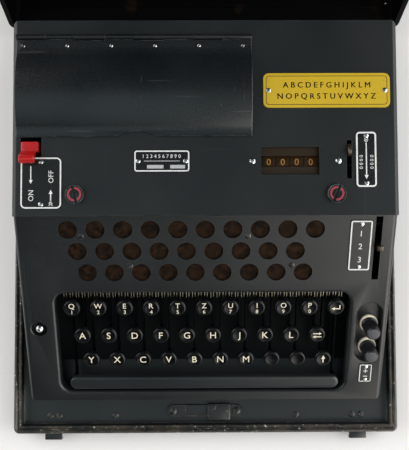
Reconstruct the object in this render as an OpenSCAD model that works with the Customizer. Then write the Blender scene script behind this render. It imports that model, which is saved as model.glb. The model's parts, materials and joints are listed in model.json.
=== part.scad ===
// Rotor cipher machine in its transport case, lid open.
// Origin: centre of the case base on the table. +X operator's right, +Y to the back, +Z up.

/* [Case] */
// Width of the case base over its rolled rim
case_w = 345; // [341:0.5:352]
// Depth of the case base over its rolled rim
case_d = 362; // [358:0.5:370]
// Height of the rubber feet
foot_h = 8; // [6:0.5:12]
// Diameter of the rubber feet
foot_d = 18; // [12:1:26]
// Distance of each foot's centre from the base's sides
foot_inset = 28; // [16:1:40]
// Sheet thickness of the case base
pan_t = 1.5; // [1:0.1:2.5]
// Height of the rim above the base's floor
rim_h = 8.5; // [7:0.5:12]
// Width of the rolled rim
rim_w = 7; // [5:0.5:9]
// Radius of the case's upright corners
case_r = 5; // [3:0.5:9]
// Width of each of the two front catch tabs
tab_w = 15.5; // [10:0.5:24]
// Reach of the catch tabs in front of the rim
tab_l = 7; // [4:0.5:10]
// Distance of each catch tab's centre from the middle
tab_x = 138; // [110:1:150]

/* [Lid] */
// Height of the lid, rim to top
lid_h = 107; // [104:0.5:118]
// Sheet thickness of the lid
lid_t = 1.3; // [1:0.1:2]
// How far the lid's edge bead stands out
bead_w = 3.5; // [2:0.5:4]
// Height of the lid's edge bead
bead_h = 6; // [4:0.5:10]
// Angle that the lid is opened to
lid_open = 106; // [95:0.5:106]
// Length of each of the two lid hinges
hinge_l = 52; // [30:1:80]
// Distance of each lid hinge's centre from the middle
hinge_x = 112; // [80:1:130]
// Radius of the lid hinges' pins
hinge_pin_r = 1.5; // [1:0.1:2]
// Outer radius of the lid hinges' knuckles
knuckle_r = 3.3; // [3:0.1:3.6]

/* [Housing] */
// Width of the machine's housing
body_w = 308; // [304:0.5:312]
// Sheet thickness of the housing
wall = 2; // [1.5:0.1:2.5]
// Rounding of the housing's long edges
edge_r = 4; // [3:0.25:6]
// Distance from the rim's front to the housing's front
front_margin = 32.2; // [30:0.2:36]
// Distance from the housing's back to the rim's back
back_margin = 15.5; // [14:0.5:18]
// Depth of the flat deck
deck_d = 156.8; // [154:0.2:158]
// Height of the deck above the base's floor
deck_h = 99.2; // [98:0.2:102]
// Height of the housing's front wall
front_h = 22.5; // [21:0.5:26]
// Height of the step from the sloped panel up to the deck
step_h = 5; // [4:0.25:6]

/* [Rotor cover] */
// Width of the hinged rotor cover
cover_w = 188; // [180:0.5:192]
// Depth of the hinged rotor cover
cover_d = 78.3; // [74:0.1:80]
// Height of the cover's hump above the deck
cover_h = 9; // [8.5:0.25:12]
// Sheet thickness of the rotor cover
cover_t = 1.5; // [1:0.1:2]
// Distance of the cover from the housing's left side
cover_margin = 3.4; // [2:0.1:5]
// Width of the cover's hinge strip
strip_w = 11; // [8:0.5:13]
// Width of the cover's front flange
flange_w = 5.3; // [4:0.1:7]
// Width of the finger notch in the cover's front flange
notch_w = 33; // [24:0.5:40]
// Depth of the finger notch
notch_d = 4.1; // [2:0.1:5]

/* [Rotors] */
// Outer radius of the drive wheels
wheel_r = 26; // [22:0.5:26.5]
// Outer radius of the coded rotors
rotor_r = 24.5; // [20:0.5:25.5]
// Radius of the rotor shaft
axle_r = 4; // [3:0.25:6]
// Spacing of the wheel pairs along the shaft
pair_pitch = 33.4; // [30:0.1:33.6]
// Thickness of a drive wheel
drive_w = 12.5; // [8:0.5:15]
// Number of letter positions on each wheel
letters = 26; // [20:1:30]
// Height of the rotor shaft below the deck
axle_drop = 22.5; // [22:0.25:26]

/* [Keyboard] */
// Spacing of keys and lamps along a row
key_pitch = 22.15; // [21.8:0.05:22.4]
// Diameter of a key cap
key_d = 14.3; // [12:0.1:15.5]
// Thickness of a key cap
key_t = 4.5; // [3:0.25:5.5]
// Travel of a key cap
key_travel = 5; // [3:0.25:5]
// Thickness of a key lever
lever_t = 1.6; // [1:0.1:2]
// Height of a key lever
lever_h = 7; // [5:0.25:7]
// Radius of the shaft that carries the key levers
key_shaft_r = 2; // [1.5:0.1:2.4]
// Length of the space bar
space_l = 234; // [210:1:236]
// Width of the space bar
space_w = 12; // [9:0.25:12.5]
// Radius of the keyboard opening's corners
well_r = 10; // [6:0.5:14]
// Depth of the flange around the keyboard opening
well_depth = 9; // [5:0.5:11]

/* [Lamps] */
// Diameter of a lamp window
lamp_d = 15.5; // [12:0.1:16.5]
// Thickness of a lamp window
lamp_t = 1.5; // [1:0.1:2]

/* [Counter] */
// Radius of a counter drum
drum_r = 13; // [10:0.5:13.5]
// Spacing of the counter drums
drum_pitch = 11.2; // [10.5:0.1:11.6]
// Width of the counter window
window_w = 46.2; // [44:0.2:50]
// Depth of the counter window
window_d = 22.3; // [18:0.1:24]

/* [Controls] */
// Width of the mode lever's paddle
mode_w = 13.4; // [10:0.1:14]
// Thickness of the reset lever
reset_t = 2.9; // [2:0.1:3.2]
// Angle that the reset lever is pulled through
reset_pull = 28; // [20:1:28]
// Thickness of the selector lever
select_t = 2.6; // [2:0.1:3.6]
// Diameter of the lock screws' heads
lock_d = 15.4; // [12:0.1:18]
// Radius of the lock screws' shanks
lock_shank_r = 4; // [3:0.1:5]
// Diameter of the terminal knobs
knob_d = 12; // [10:0.1:13.5]
// Length of the terminal knobs
knob_l = 17; // [12:0.5:20]
// Radius of the terminal studs
stud_r = 2; // [1.5:0.1:3]

/* [Hidden] */
$fn = 64;
run = 0.05;            // radial clearance of a running fit
gap = 0.3;             // air between neighbours
weld = 0.5;            // how far joined parts of one piece run into each other
eps = 0.01;
far = 400;             // longer than anything here
cut = 10;              // longer than any sheet here is thick

// Case base
floor_z = foot_h + pan_t;
rim_z = floor_z + rim_h;
rim_lip = 4;                    // depth of the rim's inner lip
base_front = -case_d / 2;
base_back = case_d / 2;
edge_t = 2;                     // thickness of the catch tabs and the hinges' leaves
edge_z = foot_h + 0.5;          // their underside
tab_lip_t = 1.6;
tab_lip_h = 4;
latch_y = base_front + 18.4;
latch_x = [-29.6, 28.1];        // the latch plate's two screws
latch_r = 5.5;                  // half the latch plate's width
latch_floor = 0.8;              // what is left under the latch plate's recess
latch_recess = [-18.5, 1.5];
latch_block = [2, 22];
latch_block_d = 14;
latch_block_h = 4.5;
floor_screw_y = base_front + 14.4;
floor_screws = [31.5, 39.5, 90.5];   // distances of the floor's screws from the case's sides

// Housing
half = body_w / 2;
body_front = base_front + front_margin;
body_back = base_back - back_margin;
deck_front = body_back - deck_d;
deck_z = floor_z + deck_h;
deck_under = deck_z - wall;
slope_top = deck_z - step_h;
slope_bottom = floor_z + front_h;
slope_a = atan2(slope_top - slope_bottom, deck_front - body_front);
ledge_z = slope_top - 1.4;      // top of the ledge that carries the deck's front lip
ledge_d = 12;
ledge_lap = 0.8;                // how far the ledge runs under the sloped panel

// Lid
lid_z = rim_z + gap;            // underside of the closed lid's edge
hinge_y = base_back + bead_w + knuckle_r + 0.2;
hinge_z = rim_z + 5;
hinge_seg = hinge_l / 4;

// Side plates of the inner frame
cheek_t = 2;
cheek_x = half - wall - gap - cheek_t - 2.7;   // their inner face
cheek_drop = 12;                // their top below the deck
panel_drop = 17;                // their top below the sloped panel
cheek_front = body_front + 9;
cheek_back = body_back - 6;

// Hinge line, front edge and middle of the rotor cover
cover_x = cover_margin + cover_w / 2 - half;
cover_left = cover_x - cover_w / 2;
cover_back = body_back - 15.5;
cover_front = cover_back - cover_d;
cover_z = deck_z + 0.4;         // underside of the cover's sheet
cover_seg = cover_w / 8;        // length of a knuckle of its hinge
hump_front = cover_front + flange_w;
hump_back = cover_back - strip_w;
hump_y = (hump_front + hump_back) / 2;
hump_rise = cover_h - cover_t - 0.4;
hump_r = (pow((hump_back - hump_front) / 2, 2) + pow(hump_rise, 2)) / (2 * hump_rise);
hump_z = deck_z + cover_h - hump_r;
cover_knuckle_r = 2;
cover_pin_r = 0.9;
cover_hinge_y = cover_back + 1.6;
cover_hinge_z = deck_z + cover_knuckle_r + 0.2;
notch_x = cover_x + 1.8;
notch_r = (pow(notch_w / 2, 2) + pow(notch_d, 2)) / (2 * notch_d);
cover_rivets = 6;
cover_rivet_in = [5.7, 7.3];    // distances of the outer rivets from the cover's two sides

// Rotor stack
axle_y = hump_y;
axle_z = deck_z - axle_drop;
pairs = 5;
stack_x0 = cover_x - pairs * pair_pitch / 2 - 1.4;   // left end of the wheel stack
stack_x1 = stack_x0 + pairs * pair_pitch;
disc_t = 3;
bearing_x = stack_x1 + gap + disc_t;                  // inner face of the right bearing plate
bearing_top = 9;                // half the bearing plate's width at its top, and at its foot
bearing_foot = 20;
rotor_hole_d = 54;              // depth of the opening under the rotor cover
rotor_hole_in = 6;              // what the cover laps over the opening at each end

// Keyboard, measured down the sloped panel from its top edge (s) and below it (negative n)
rows = [[11, -1.5, 82.5], [10, -5, 108.5], [10, 1.3, 132]];   // keys, middle x, s
key_top = 1;
cap_bevel = 0.8;
cap_dish = 0.3;
cap_rim = 1.5;
stem_r = 1.7;
lever_n = -18.5;
lever_end = 3;                  // what a lever runs past its key's stem
pivot_s = 14;
eye_r = lever_h / 2 + 0.5;      // round end of a key lever, about its shaft
stem_n = lever_n + lever_h / 2;
space_s = 155.6;
space_t = 5;
space_top = 0.5;
space_x = -1.2;
space_wall = 1.4;
space_arm_x = space_l / 2 - 3.4;
well_x = [-126, 121];
well_s = [68.5, 164.2];
comb_s = 70;
comb_t = 2;
comb_top = -6;
comb_in = 6;                    // distance of the comb's ends from the keyboard opening's ends
comb_clear = 1.5;
comb_slot_n = lever_n - lever_h / 2 - key_travel - comb_clear;   // bottom of the comb's slots
tray_n = -30;                   // plate under the key levers
tray_t = 1.5;
tray_s = 150;                   // front edge of that plate

// Lamps: count, first x, s
lamp_rows = [[10, -111.2, 11.8], [9, -104.4, 30.7], [9, -97.3, 49.7]];
lamp_lip = 1.5;                 // a window is this much wider all round than its hole
board_n = -13;
board_t = 1.6;
board_in = 16;                  // what the lamp board runs past its outer lamps
board_s = [3, 61];
post_r = 2.5;
post_in = 3.5;                  // distance of the board's posts from its ends, and from its sides
post_side = 5;
socket_r = 4.5;
socket_h = 3;
bulb_r = 3.4;

// Counter
drums = 4;
counter_x = half - 86.6;
counter_y = deck_front + 43.2;
counter_shaft_r = 2;
drum_w = drum_pitch - 0.6;
counter_z = deck_z - 5 - drum_r;
window_t = 1.2;
window_lap = 2.5;               // what the counter window laps under the deck
counter_screws = [-30.2, 38.3];
counter_half = drums * drum_pitch / 2 + 0.4;
counter_cheek = [counter_x - counter_half - cheek_t, counter_x + counter_half];

// Controls on the deck
lock_x = half - 50.3;
lock_y = deck_front + 16.9;
lock_t = 3;
lock_tongue = [4, 16, 3.5];     // width, length and thickness of the tongue under the rail
lock_slot_w = 1.8;
lock_slot_h = 1.4;
lock_ring = [4.6, 5.6, 0.6];    // radii and depth of the painted ring
lock_turns = [14, -23];         // how the left and the right slot stand at rest
rail_w = 24;
rail_z = deck_z - 12;
eye_wall = 2.5;                 // metal around a control lever's bore
mode_x = 14.7 - half;
mode_y = deck_front + 54.8;
mode_drop = 22;
mode_block = 8;
mode_block_h = 7;
mode_lip_r = 3.6;
mode_lip = [10.5, 8.5];         // how far in front of the pin and above the deck the lip's middle is
mode_slot = [16.5, 15.4];
mode_slot_x = 15.3 - half;
reset_x = half - 39.75;
reset_y = deck_front + 44.3;
reset_drop = 30;
reset_tip_r = 4.8;
reset_slot = [3.9, 30.9];
control_pin_r = 2.5;
pin_end = 3;                    // what a control's pin runs past its lever

// Controls on the sloped panel
select_x = half - 14.6;
select_s = 27;
select_n = -38;
select_slot = [5.6, 1, 56.8];
cup_x = half - 15.8;
cup_s = [78.5, 135.2];
cup_r = 10.8;
cup_depth = 8;
cup_wall = 1.5;
terminal_x = half - 14.6;
terminal_s = [101, 122.9];
ring_r = 7.8;
ring_t = 3;
stud_top = 10;
nut_t = 3;
nut_r = 3.6;
knob_flange = [1.5, 3];         // what the knob's flange adds to its diameter, and its height
knob_crown = [2.4, 1.2];        // what the knob's crown takes off its diameter, and its height
groove_r = 0.7;
grooves = 18;
ball_x = 13.3 - half;
ball_s = 102;
ball_hole_r = 6.7;
ball_r = 3.8;
ball_neck = [2.2, 6];           // radius and height of the ball's neck

// Transformer on the case's floor
core_x = half - 102;
core_y = body_back - 62;
core = [62, 44, 48];
core_limb = 10;
coil_x = [20, 42];              // ends of the winding along the core
coil_out = 8;                   // what the winding stands out in front of and behind the core

// Plates: x0, x1, y0, y1, corner radius, place of the rivets from the ends.
// The first four are measured from the deck's front edge, the last two down the sloped panel.
plate_t = 1;
deck_plates = [
  [half - 107.9, half - 6.6, 85.8, 113.6, 4.5, 4.2],
  [-56.9, -12.6, 34.5, 52, 2.2, 3.3],
  [7.3 - half, 39.9 - half, 5.5, 46.6, 4, 3.6],
  [half - 34.7, half - 18, 21.8, 66.4, 3, 3.3]
];
panel_plates = [
  [half - 37.7, half - 19.9, 4.1, 48.2, 1.6, 3.2],
  [half - 21, half - 10.2, 137.5, 154.9, 1.2, 2.3]
];
panel_screws = [[-100.6, 17.6], [34, 17.6], [-62.1, 43.5], [70.3, 43.5]];
rivet_r = 1.3;
rivet_h = 0.6;

// ---------- frames of reference ----------

// The sloped panel's frame: x across, -y down the slope, z square to its face
module on_panel() {
  translate([0, deck_front, slope_top]) rotate([slope_a, 0, 0]) children();
}

// A point of the panel's frame: down the slope by s, above it by n
module at_panel(x, s, n = 0) {
  on_panel() translate([x, -s, n]) children();
}

// Turns a flat shape drawn as (y, z) into a slab of thickness t centred on x = 0
module slab_x(t) {
  translate([-t / 2, 0, 0]) rotate([90, 0, 90]) linear_extrude(t) children();
}

// A rod along x
module rod_x(r, l, x0 = 0) {
  translate([x0, 0, 0]) rotate([0, 90, 0]) cylinder(r = r, h = l);
}

module round_rect(w, d, r) {
  square([w - 2 * r, d], center = true);
  square([w, d - 2 * r], center = true);
  for (sx = [-1, 1], sy = [-1, 1])
    translate([sx * (w / 2 - r), sy * (d / 2 - r)]) circle(r);
}

module span_rect(x0, x1, y0, y1, r) {
  translate([(x0 + x1) / 2, (y0 + y1) / 2]) round_rect(x1 - x0, y1 - y0, r);
}

// ---------- case ----------

module base_outline(inset) {
  round_rect(case_w - 2 * inset, case_d - 2 * inset, case_r - min(inset, case_r - 1));
}

module rim() {
  difference() {
    translate([0, 0, foot_h]) linear_extrude(rim_z - foot_h) base_outline(0);
    translate([0, 0, foot_h - eps]) linear_extrude(rim_z - foot_h - pan_t + eps) base_outline(pan_t);
    translate([0, 0, foot_h - eps]) linear_extrude(far) base_outline(rim_w);
  }
  difference() {
    translate([0, 0, rim_z - rim_lip]) linear_extrude(rim_lip) base_outline(rim_w - pan_t);
    translate([0, 0, rim_z - 2 * rim_lip]) linear_extrude(far) base_outline(rim_w);
  }
}

module catch_tab(side) {
  translate([side * tab_x - tab_w / 2, base_front - tab_l, edge_z]) {
    cube([tab_w, tab_l + weld, edge_t]);
    translate([0, 0, -tab_lip_h]) cube([tab_w, tab_lip_t, tab_lip_h + weld]);
  }
}

module front_latch() {
  translate([0, latch_y, floor_z - weld]) {
    difference() {
      linear_extrude(edge_t + weld)
        span_rect(latch_x[0] - latch_r, latch_x[1] + latch_r, -latch_r, latch_r, latch_r - 0.1);
      translate([latch_recess[0], -4, weld + latch_floor]) cube([latch_recess[1] - latch_recess[0], 9, cut]);
    }
    translate([latch_block[0], -7.5, 0])
      cube([latch_block[1] - latch_block[0], latch_block_d, latch_block_h + weld]);
    for (x = latch_x) translate([x, 0, edge_t]) slotted_head(3.2, 1.7 + weld, 1);
  }
}

module hinge_half_base(side) {
  for (k = [-1.5, 0.5])
    translate([side * hinge_x + k * hinge_seg, 0, 0]) slab_x(hinge_seg - gap) {
      translate([base_back - weld, edge_z]) square([hinge_y + edge_t - base_back + weld, edge_t]);
      translate([hinge_y, edge_z]) square([edge_t, hinge_z - edge_z]);
      translate([hinge_y, hinge_z]) circle(knuckle_r);
    }
  translate([side * hinge_x - hinge_l / 2, hinge_y, hinge_z]) rod_x(hinge_pin_r, hinge_l);
}

module case_base() {
  color("#2f3336") {
    translate([0, 0, foot_h]) linear_extrude(pan_t) base_outline(weld);
    rim();
    for (side = [-1, 1]) {
      catch_tab(side);
      hinge_half_base(side);
    }
  }
  color("#26292b") front_latch();
}

module case_feet() {
  color("#151515")
    for (sx = [-1, 1], sy = [-1, 1])
      translate([sx * (case_w / 2 - foot_inset), sy * (case_d / 2 - foot_inset), 0])
        cylinder(d = foot_d, h = foot_h);
}

// The lid is drawn closed, then swung open about its hinges
module lid_closed() {
  difference() {
    union() {
      translate([0, 0, lid_z]) linear_extrude(lid_h) base_outline(0);
      translate([0, 0, lid_z]) linear_extrude(bead_h)
        round_rect(case_w + 2 * bead_w, case_d + 2 * bead_w, case_r + bead_w);
    }
    translate([0, 0, lid_z - eps]) linear_extrude(lid_h - lid_t + eps) base_outline(lid_t);
  }
  for (side = [-1, 1], k = [-0.5, 1.5])
    translate([side * hinge_x + k * hinge_seg, 0, 0])
      slab_x(hinge_seg - gap) difference() {
        union() {
          translate([base_back - weld, hinge_z - edge_t / 2]) square([hinge_y - base_back, edge_t]);
          translate([hinge_y, hinge_z]) circle(knuckle_r);
        }
        translate([hinge_y, hinge_z]) circle(hinge_pin_r + run);
      }
}

module case_lid() {
  color("#1f2224")
    translate([0, hinge_y, hinge_z]) rotate([-lid_open, 0, 0])
      translate([0, -hinge_y, -hinge_z]) lid_closed();
}

// ---------- housing ----------

// Cross-section of the housing: flat top with rounded corners, straight sides
module section(w, r) {
  translate([-w / 2, -far]) square([w, far - r]);
  translate([-w / 2 + r, -far]) square([w - 2 * r, far]);
  for (sx = [-1, 1]) translate([sx * (w / 2 - r), -r]) circle(r);
}

module front_form(t) {
  intersection() {
    translate([0, 0, floor_z - (t > 0 ? 1 : 0)]) linear_extrude(far)
      span_rect(-body_w / 2 + t, body_w / 2 - t, body_front + t, deck_front + 20, edge_r + 1 - t);
    on_panel() translate([0, 100, -t]) rotate([90, 0, 0]) linear_extrude(far)
      section(body_w - 2 * t, edge_r - t);
  }
}

module well_outline(grow) {
  span_rect(well_x[0] - grow, well_x[1] + grow, -well_s[1] - grow, -well_s[0] + grow, well_r + grow);
}

module cup_outline(grow) {
  translate([cup_x, -cup_s[0] - cup_r]) circle(cup_r + grow);
  translate([cup_x, -cup_s[1] + cup_r]) circle(cup_r + grow);
  translate([cup_x - cup_r - grow, -cup_s[1] + cup_r])
    square([2 * (cup_r + grow), cup_s[1] - cup_s[0] - 2 * cup_r]);
}

module front_cover() {
  color("#2b2f31") difference() {
    union() {
      difference() {
        front_form(0);
        front_form(wall);
        translate([-far, deck_front, 0]) cube(2 * far);
      }
      difference() {
        translate([-half + wall + gap, deck_front - ledge_lap, ledge_z - wall])
          cube([body_w - 2 * wall - 2 * gap, ledge_d + ledge_lap, wall]);
        // room for the selector lever behind the step
        translate([select_x - select_slot[0] / 2, deck_front - 2 * wall, ledge_z - 2 * wall])
          cube([select_slot[0], 2 * wall, 4 * wall]);
      }
      on_panel() {
        translate([0, 0, -well_depth]) linear_extrude(well_depth - wall / 2) well_outline(wall);
        translate([0, 0, -cup_depth - wall]) linear_extrude(cup_depth + wall / 2) cup_outline(cup_wall);
      }
      at_panel(ball_x, ball_s, -cup_depth - wall)
        cylinder(r = ball_hole_r + cup_wall, h = cup_depth + wall / 2);
    }
    on_panel() {
      translate([0, 0, -far / 2]) linear_extrude(far) well_outline(0);
      translate([0, 0, -cup_depth]) linear_extrude(far) cup_outline(0);
      for (row = lamp_rows, i = [0 : row[0] - 1])
        translate([row[1] + i * key_pitch, -row[2], -cut]) cylinder(d = lamp_d, h = 2 * cut);
      translate([select_x - select_slot[0] / 2, -select_slot[2], -cut])
        cube([select_slot[0], select_slot[2] - select_slot[1], 2 * cut]);
      for (s = terminal_s)
        translate([terminal_x, -s, -2 * cut]) cylinder(r = stud_r + run, h = 2 * cut);
    }
    at_panel(ball_x, ball_s, -cup_depth) cylinder(r = ball_hole_r, h = 2 * cut);
  }
}

module top_form(t) {
  intersection() {
    translate([0, 0, floor_z - (t > 0 ? 1 : 0)]) linear_extrude(far)
      span_rect(-body_w / 2 + t, body_w / 2 - t, deck_front - 20, body_back - t, edge_r + 1 - t);
    translate([0, body_back + 10, deck_z - t]) rotate([90, 0, 0]) linear_extrude(deck_d + 30)
      section(body_w - 2 * t, edge_r - t);
  }
}

module cover_knuckles(first) {
  for (k = [first : 2 : 7])
    translate([cover_left + k * cover_seg + gap / 2, cover_hinge_y, cover_hinge_z])
      rod_x(cover_knuckle_r, cover_seg - gap);
}

module top_cover() {
  color("#2b2f31") {
    difference() {
      top_form(0);
      top_form(wall);
      translate([-far, deck_front - far, 0]) cube([2 * far, far, far]);
      // seam with the front cover's side walls
      translate([-far, deck_front - eps, 0]) cube([2 * far, gap, slope_top - 8]);
      translate([cover_left + rotor_hole_in, hump_y - rotor_hole_d / 2, deck_z - cut])
        cube([cover_w - 2 * rotor_hole_in, rotor_hole_d, 2 * cut]);
      translate([mode_slot_x, mode_y, deck_z]) cube([mode_slot[0], mode_slot[1], 2 * cut], center = true);
      translate([counter_x, counter_y, deck_z]) cube([window_w, window_d, 2 * cut], center = true);
      translate([reset_x, reset_y, deck_z]) cube([reset_slot[0], reset_slot[1], 2 * cut], center = true);
      for (side = [-1, 1])
        translate([side * lock_x, lock_y, deck_z - cut]) cylinder(r = lock_shank_r + run, h = 2 * cut);
    }
    // front lip that rests on the front cover's ledge
    translate([-half + wall + gap, deck_front, ledge_z])
      cube([body_w - 2 * wall - 2 * gap, wall, deck_z - ledge_z - wall / 2]);
    cover_knuckles(0);
    for (k = [0 : 2 : 7])
      translate([cover_left + k * cover_seg + gap / 2, cover_hinge_y - 1, deck_z - weld])
        cube([cover_seg - gap, 2, cover_knuckle_r + weld]);
    translate([cover_left + 2, cover_hinge_y, cover_hinge_z])
      rod_x(cover_pin_r, cover_w - cover_seg - 2);
  }
}

module hump(inset) {
  intersection() {
    translate([hump_y, hump_z]) circle(hump_r - inset, $fn = 128);
    translate([cover_front, cover_z - (inset > 0 ? 1 : 0)]) square([cover_d, 2 * cover_h]);
  }
}

module rotor_cover() {
  color("#272b2d") {
    difference() {
      union() {
        translate([cover_x, 0, 0]) slab_x(cover_w) hump(0);
        translate([cover_left, cover_front, cover_z]) cube([cover_w, cover_d, cover_t]);
      }
      translate([cover_x, 0, 0]) slab_x(cover_w - 2 * cover_t) hump(cover_t);
      // finger notch in the front flange
      translate([notch_x, cover_front + notch_d - notch_r, deck_z - cut]) cylinder(r = notch_r, h = 2 * cut);
      // room for the fixed knuckles
      for (k = [0 : 2 : 7])
        translate([cover_left + k * cover_seg - gap, cover_back - 1.2, deck_z - 1])
          cube([cover_seg + 2 * gap, cut, cut]);
    }
    difference() {
      union() {
        cover_knuckles(1);
        for (k = [1 : 2 : 7])
          translate([cover_left + k * cover_seg + gap / 2, cover_back - 2, cover_z])
            cube([cover_seg - gap, 3.2, cover_t]);
      }
      translate([cover_left - gap, cover_hinge_y, cover_hinge_z])
        rod_x(cover_pin_r + run, cover_w + 2 * gap);
    }
  }
  color("#8a8d8f")
    for (i = [0 : cover_rivets - 1])
      translate([
        cover_left + cover_rivet_in[0]
          + i * (cover_w - cover_rivet_in[0] - cover_rivet_in[1]) / (cover_rivets - 1),
        cover_back - strip_w / 2,
        cover_z + cover_t - weld
      ]) rivet(1.5, 0.8 + weld);
}

// ---------- inner frame ----------

module side_plate(x) {
  translate([x, 0, 0]) slab_x(cheek_t) polygon([
    [cheek_front, floor_z],
    [cheek_front, slope_bottom + 4 - panel_drop],
    [deck_front, slope_top - panel_drop],
    [deck_front, deck_z - cheek_drop],
    [cheek_back, deck_z - cheek_drop],
    [cheek_back, floor_z]
  ]);
}

// A plate or block between the two side plates, y and z as given
module cross_plate(y, z, d, t) {
  translate([-cheek_x - weld, y, z]) cube([2 * (cheek_x + weld), d, t]);
}

module key_levers_at() {
  for (row = rows, i = [0 : row[0] - 1])
    translate([row[1] + (i - (row[0] - 1) / 2) * key_pitch, 0, 0]) children();
  for (side = [-1, 1]) translate([space_x + side * space_arm_x, 0, 0]) children();
}

module comb() {
  difference() {
    translate([well_x[0] + comb_in, -comb_s - comb_t, tray_n - weld])
      cube([well_x[1] - well_x[0] - 2 * comb_in, comb_t, comb_top - tray_n + weld]);
    key_levers_at() translate([-lever_t / 2 - gap, -comb_s - 2 * comb_t, comb_slot_n])
      cube([lever_t + 2 * gap, 4 * comb_t, stem_n + comb_clear - comb_slot_n]);
  }
}

module rotor_shaft() {
  color("#8b8f92") {
    translate([bearing_x + cheek_t, 0, 0]) slab_x(2 * cheek_t) polygon([
      [axle_y - bearing_foot, floor_z],
      [axle_y - bearing_foot, floor_z + 8],
      [axle_y - bearing_top, axle_z + 8],
      [axle_y + bearing_top, axle_z + 8],
      [axle_y + bearing_foot, floor_z + 8],
      [axle_y + bearing_foot, floor_z]
    ]);
    translate([0, axle_y, axle_z]) {
      rod_x(axle_r, bearing_x + weld + cheek_x, -cheek_x);
      rod_x(wheel_r - 1, disc_t + weld, bearing_x - disc_t);
      rod_x(axle_r + 4, stack_x0 - gap + cheek_x, -cheek_x);
    }
  }
}

module counter_frame() {
  for (x = counter_cheek)
    translate([x + cheek_t / 2, 0, 0]) slab_x(cheek_t) polygon([
      [lock_y + rail_w / 2 - weld, rail_z - 4],
      [lock_y + rail_w / 2 - weld, rail_z + 6],
      [counter_y + 5, rail_z + 6],
      [counter_y + 5, counter_z - 5],
      [counter_y - 5, counter_z - 5]
    ]);
  translate([0, counter_y, counter_z])
    rod_x(counter_shaft_r, counter_cheek[1] - counter_cheek[0] + cheek_t, counter_cheek[0]);
}

module lock_rail() {
  difference() {
    cross_plate(lock_y - rail_w / 2, rail_z, rail_w, cheek_t);
    for (side = [-1, 1])
      translate([side * lock_x, lock_y, 0]) cylinder(r = lock_shank_r + 1, h = far);
    // the selector's arm passes in front
    translate([select_x - 6, lock_y - rail_w / 2 - 1, rail_z - 1]) cube([12, 8, cut]);
  }
}

// Pins on the side plates that carry the mode, reset and selector levers
module control_pins() {
  mode_end = mode_x + mode_w / 2 + pin_end;
  translate([0, mode_y, deck_z - mode_drop])
    rod_x(control_pin_r, cheek_x + weld + mode_end, -cheek_x - weld);
  reset_end = reset_x - reset_t / 2 - pin_end;
  translate([0, reset_y, deck_z - reset_drop]) rod_x(control_pin_r, cheek_x + weld - reset_end, reset_end);
  select_end = select_x - select_t / 2 - pin_end;
  at_panel(0, select_s, select_n) rod_x(control_pin_r, cheek_x + weld - select_end, select_end);
}

module transformer() {
  yoke = core_limb;
  translate([core_x, core_y, floor_z]) {
    cube([core[0], core[1], yoke]);
    translate([0, 0, core[2] - yoke]) cube([core[0], core[1], yoke]);
    for (i = [0 : 2])
      translate([i * (core[0] - core_limb) / 2, 0, yoke - weld])
        cube([core_limb, core[1], core[2] - 2 * yoke + 2 * weld]);
  }
}

module coil_windings() {
  window_h = core[2] - 2 * core_limb;
  limb_x = (core[0] - core_limb) / 2;
  translate([core_x, core_y, floor_z + core_limb + gap])
    difference() {
      translate([coil_x[0], -coil_out, 0])
        cube([coil_x[1] - coil_x[0], core[1] + 2 * coil_out, window_h - 2 * gap]);
      translate([limb_x - gap, -gap, -1]) cube([core_limb + 2 * gap, core[1] + 2 * gap, window_h + 2]);
    }
}

module chassis() {
  color("#6f7577") {
    for (side = [-1, 1]) side_plate(side * (cheek_x + cheek_t / 2));
    lock_rail();
    counter_frame();
    control_pins();
    on_panel() {
      translate([0, -pivot_s, lever_n]) rod_x(key_shaft_r, 2 * (cheek_x + weld), -cheek_x - weld);
      cross_plate(-tray_s, tray_n - tray_t, tray_s - comb_s, tray_t);
    }
  }
  color("#1b1c1e") on_panel() comb();
}

// ---------- lamps and windows ----------

module lamp_board() {
  board_x0 = lamp_rows[0][1] - board_in;
  board_x1 = lamp_rows[0][1] + (lamp_rows[0][0] - 1) * key_pitch + board_in;
  color("#5a3a22") on_panel()
    translate([0, 0, board_n]) linear_extrude(board_t)
      span_rect(board_x0, board_x1, -board_s[1], -board_s[0], 3);
  color("#c9b27a")
    for (row = lamp_rows, i = [0 : row[0] - 1])
      at_panel(row[1] + i * key_pitch, row[2], board_n + board_t - weld) {
        cylinder(r = socket_r, h = socket_h + weld);
        translate([0, 0, socket_h + weld]) sphere(r = bulb_r);
      }
  color("#8a8d8f")
    for (x = [board_x0 + post_in, board_x1 - post_in], s = [board_s[0] + post_side, board_s[1] - post_side])
      at_panel(x, s, board_n + board_t - weld) cylinder(r = post_r, h = weld - board_n - board_t - wall);
}

module electrics() {
  lamp_board();
  color("#6f7577") transformer();
  color("#8a4a20") coil_windings();
}

module indicator_windows() {
  color("#3a2415")
    for (row = lamp_rows, i = [0 : row[0] - 1])
      at_panel(row[1] + i * key_pitch, row[2], -wall - lamp_t)
        cylinder(d = lamp_d + 2 * lamp_lip, h = lamp_t);
  color("#4a3515") translate([counter_x, counter_y, deck_under - window_t])
    linear_extrude(window_t) square([window_w + 2 * window_lap, window_d + 2 * window_lap], center = true);
}

// ---------- plates and screws ----------

module plate(p) {
  color(p[4] > 4.2 ? "#cdaf23" : "#17191b") linear_extrude(plate_t) span_rect(p[0], p[1], p[2], p[3], p[4]);
}

module rivet(r = rivet_r, h = rivet_h) {
  cylinder(r1 = r, r2 = r * 0.6, h = h);
}

// Two rivets near the short ends of a plate
module plate_rivets(p) {
  mid = [(p[0] + p[1]) / 2, (p[2] + p[3]) / 2];
  ends = p[1] - p[0] > p[3] - p[2]
    ? [[p[0] + p[5], mid[1]], [p[1] - p[5], mid[1]]]
    : [[mid[0], p[2] + p[5]], [mid[0], p[3] - p[5]]];
  color("#c9cbcc") for (e = ends) translate([e[0], e[1], plate_t]) rivet(min(rivet_r, 0.4 * p[5]));
}

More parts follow.
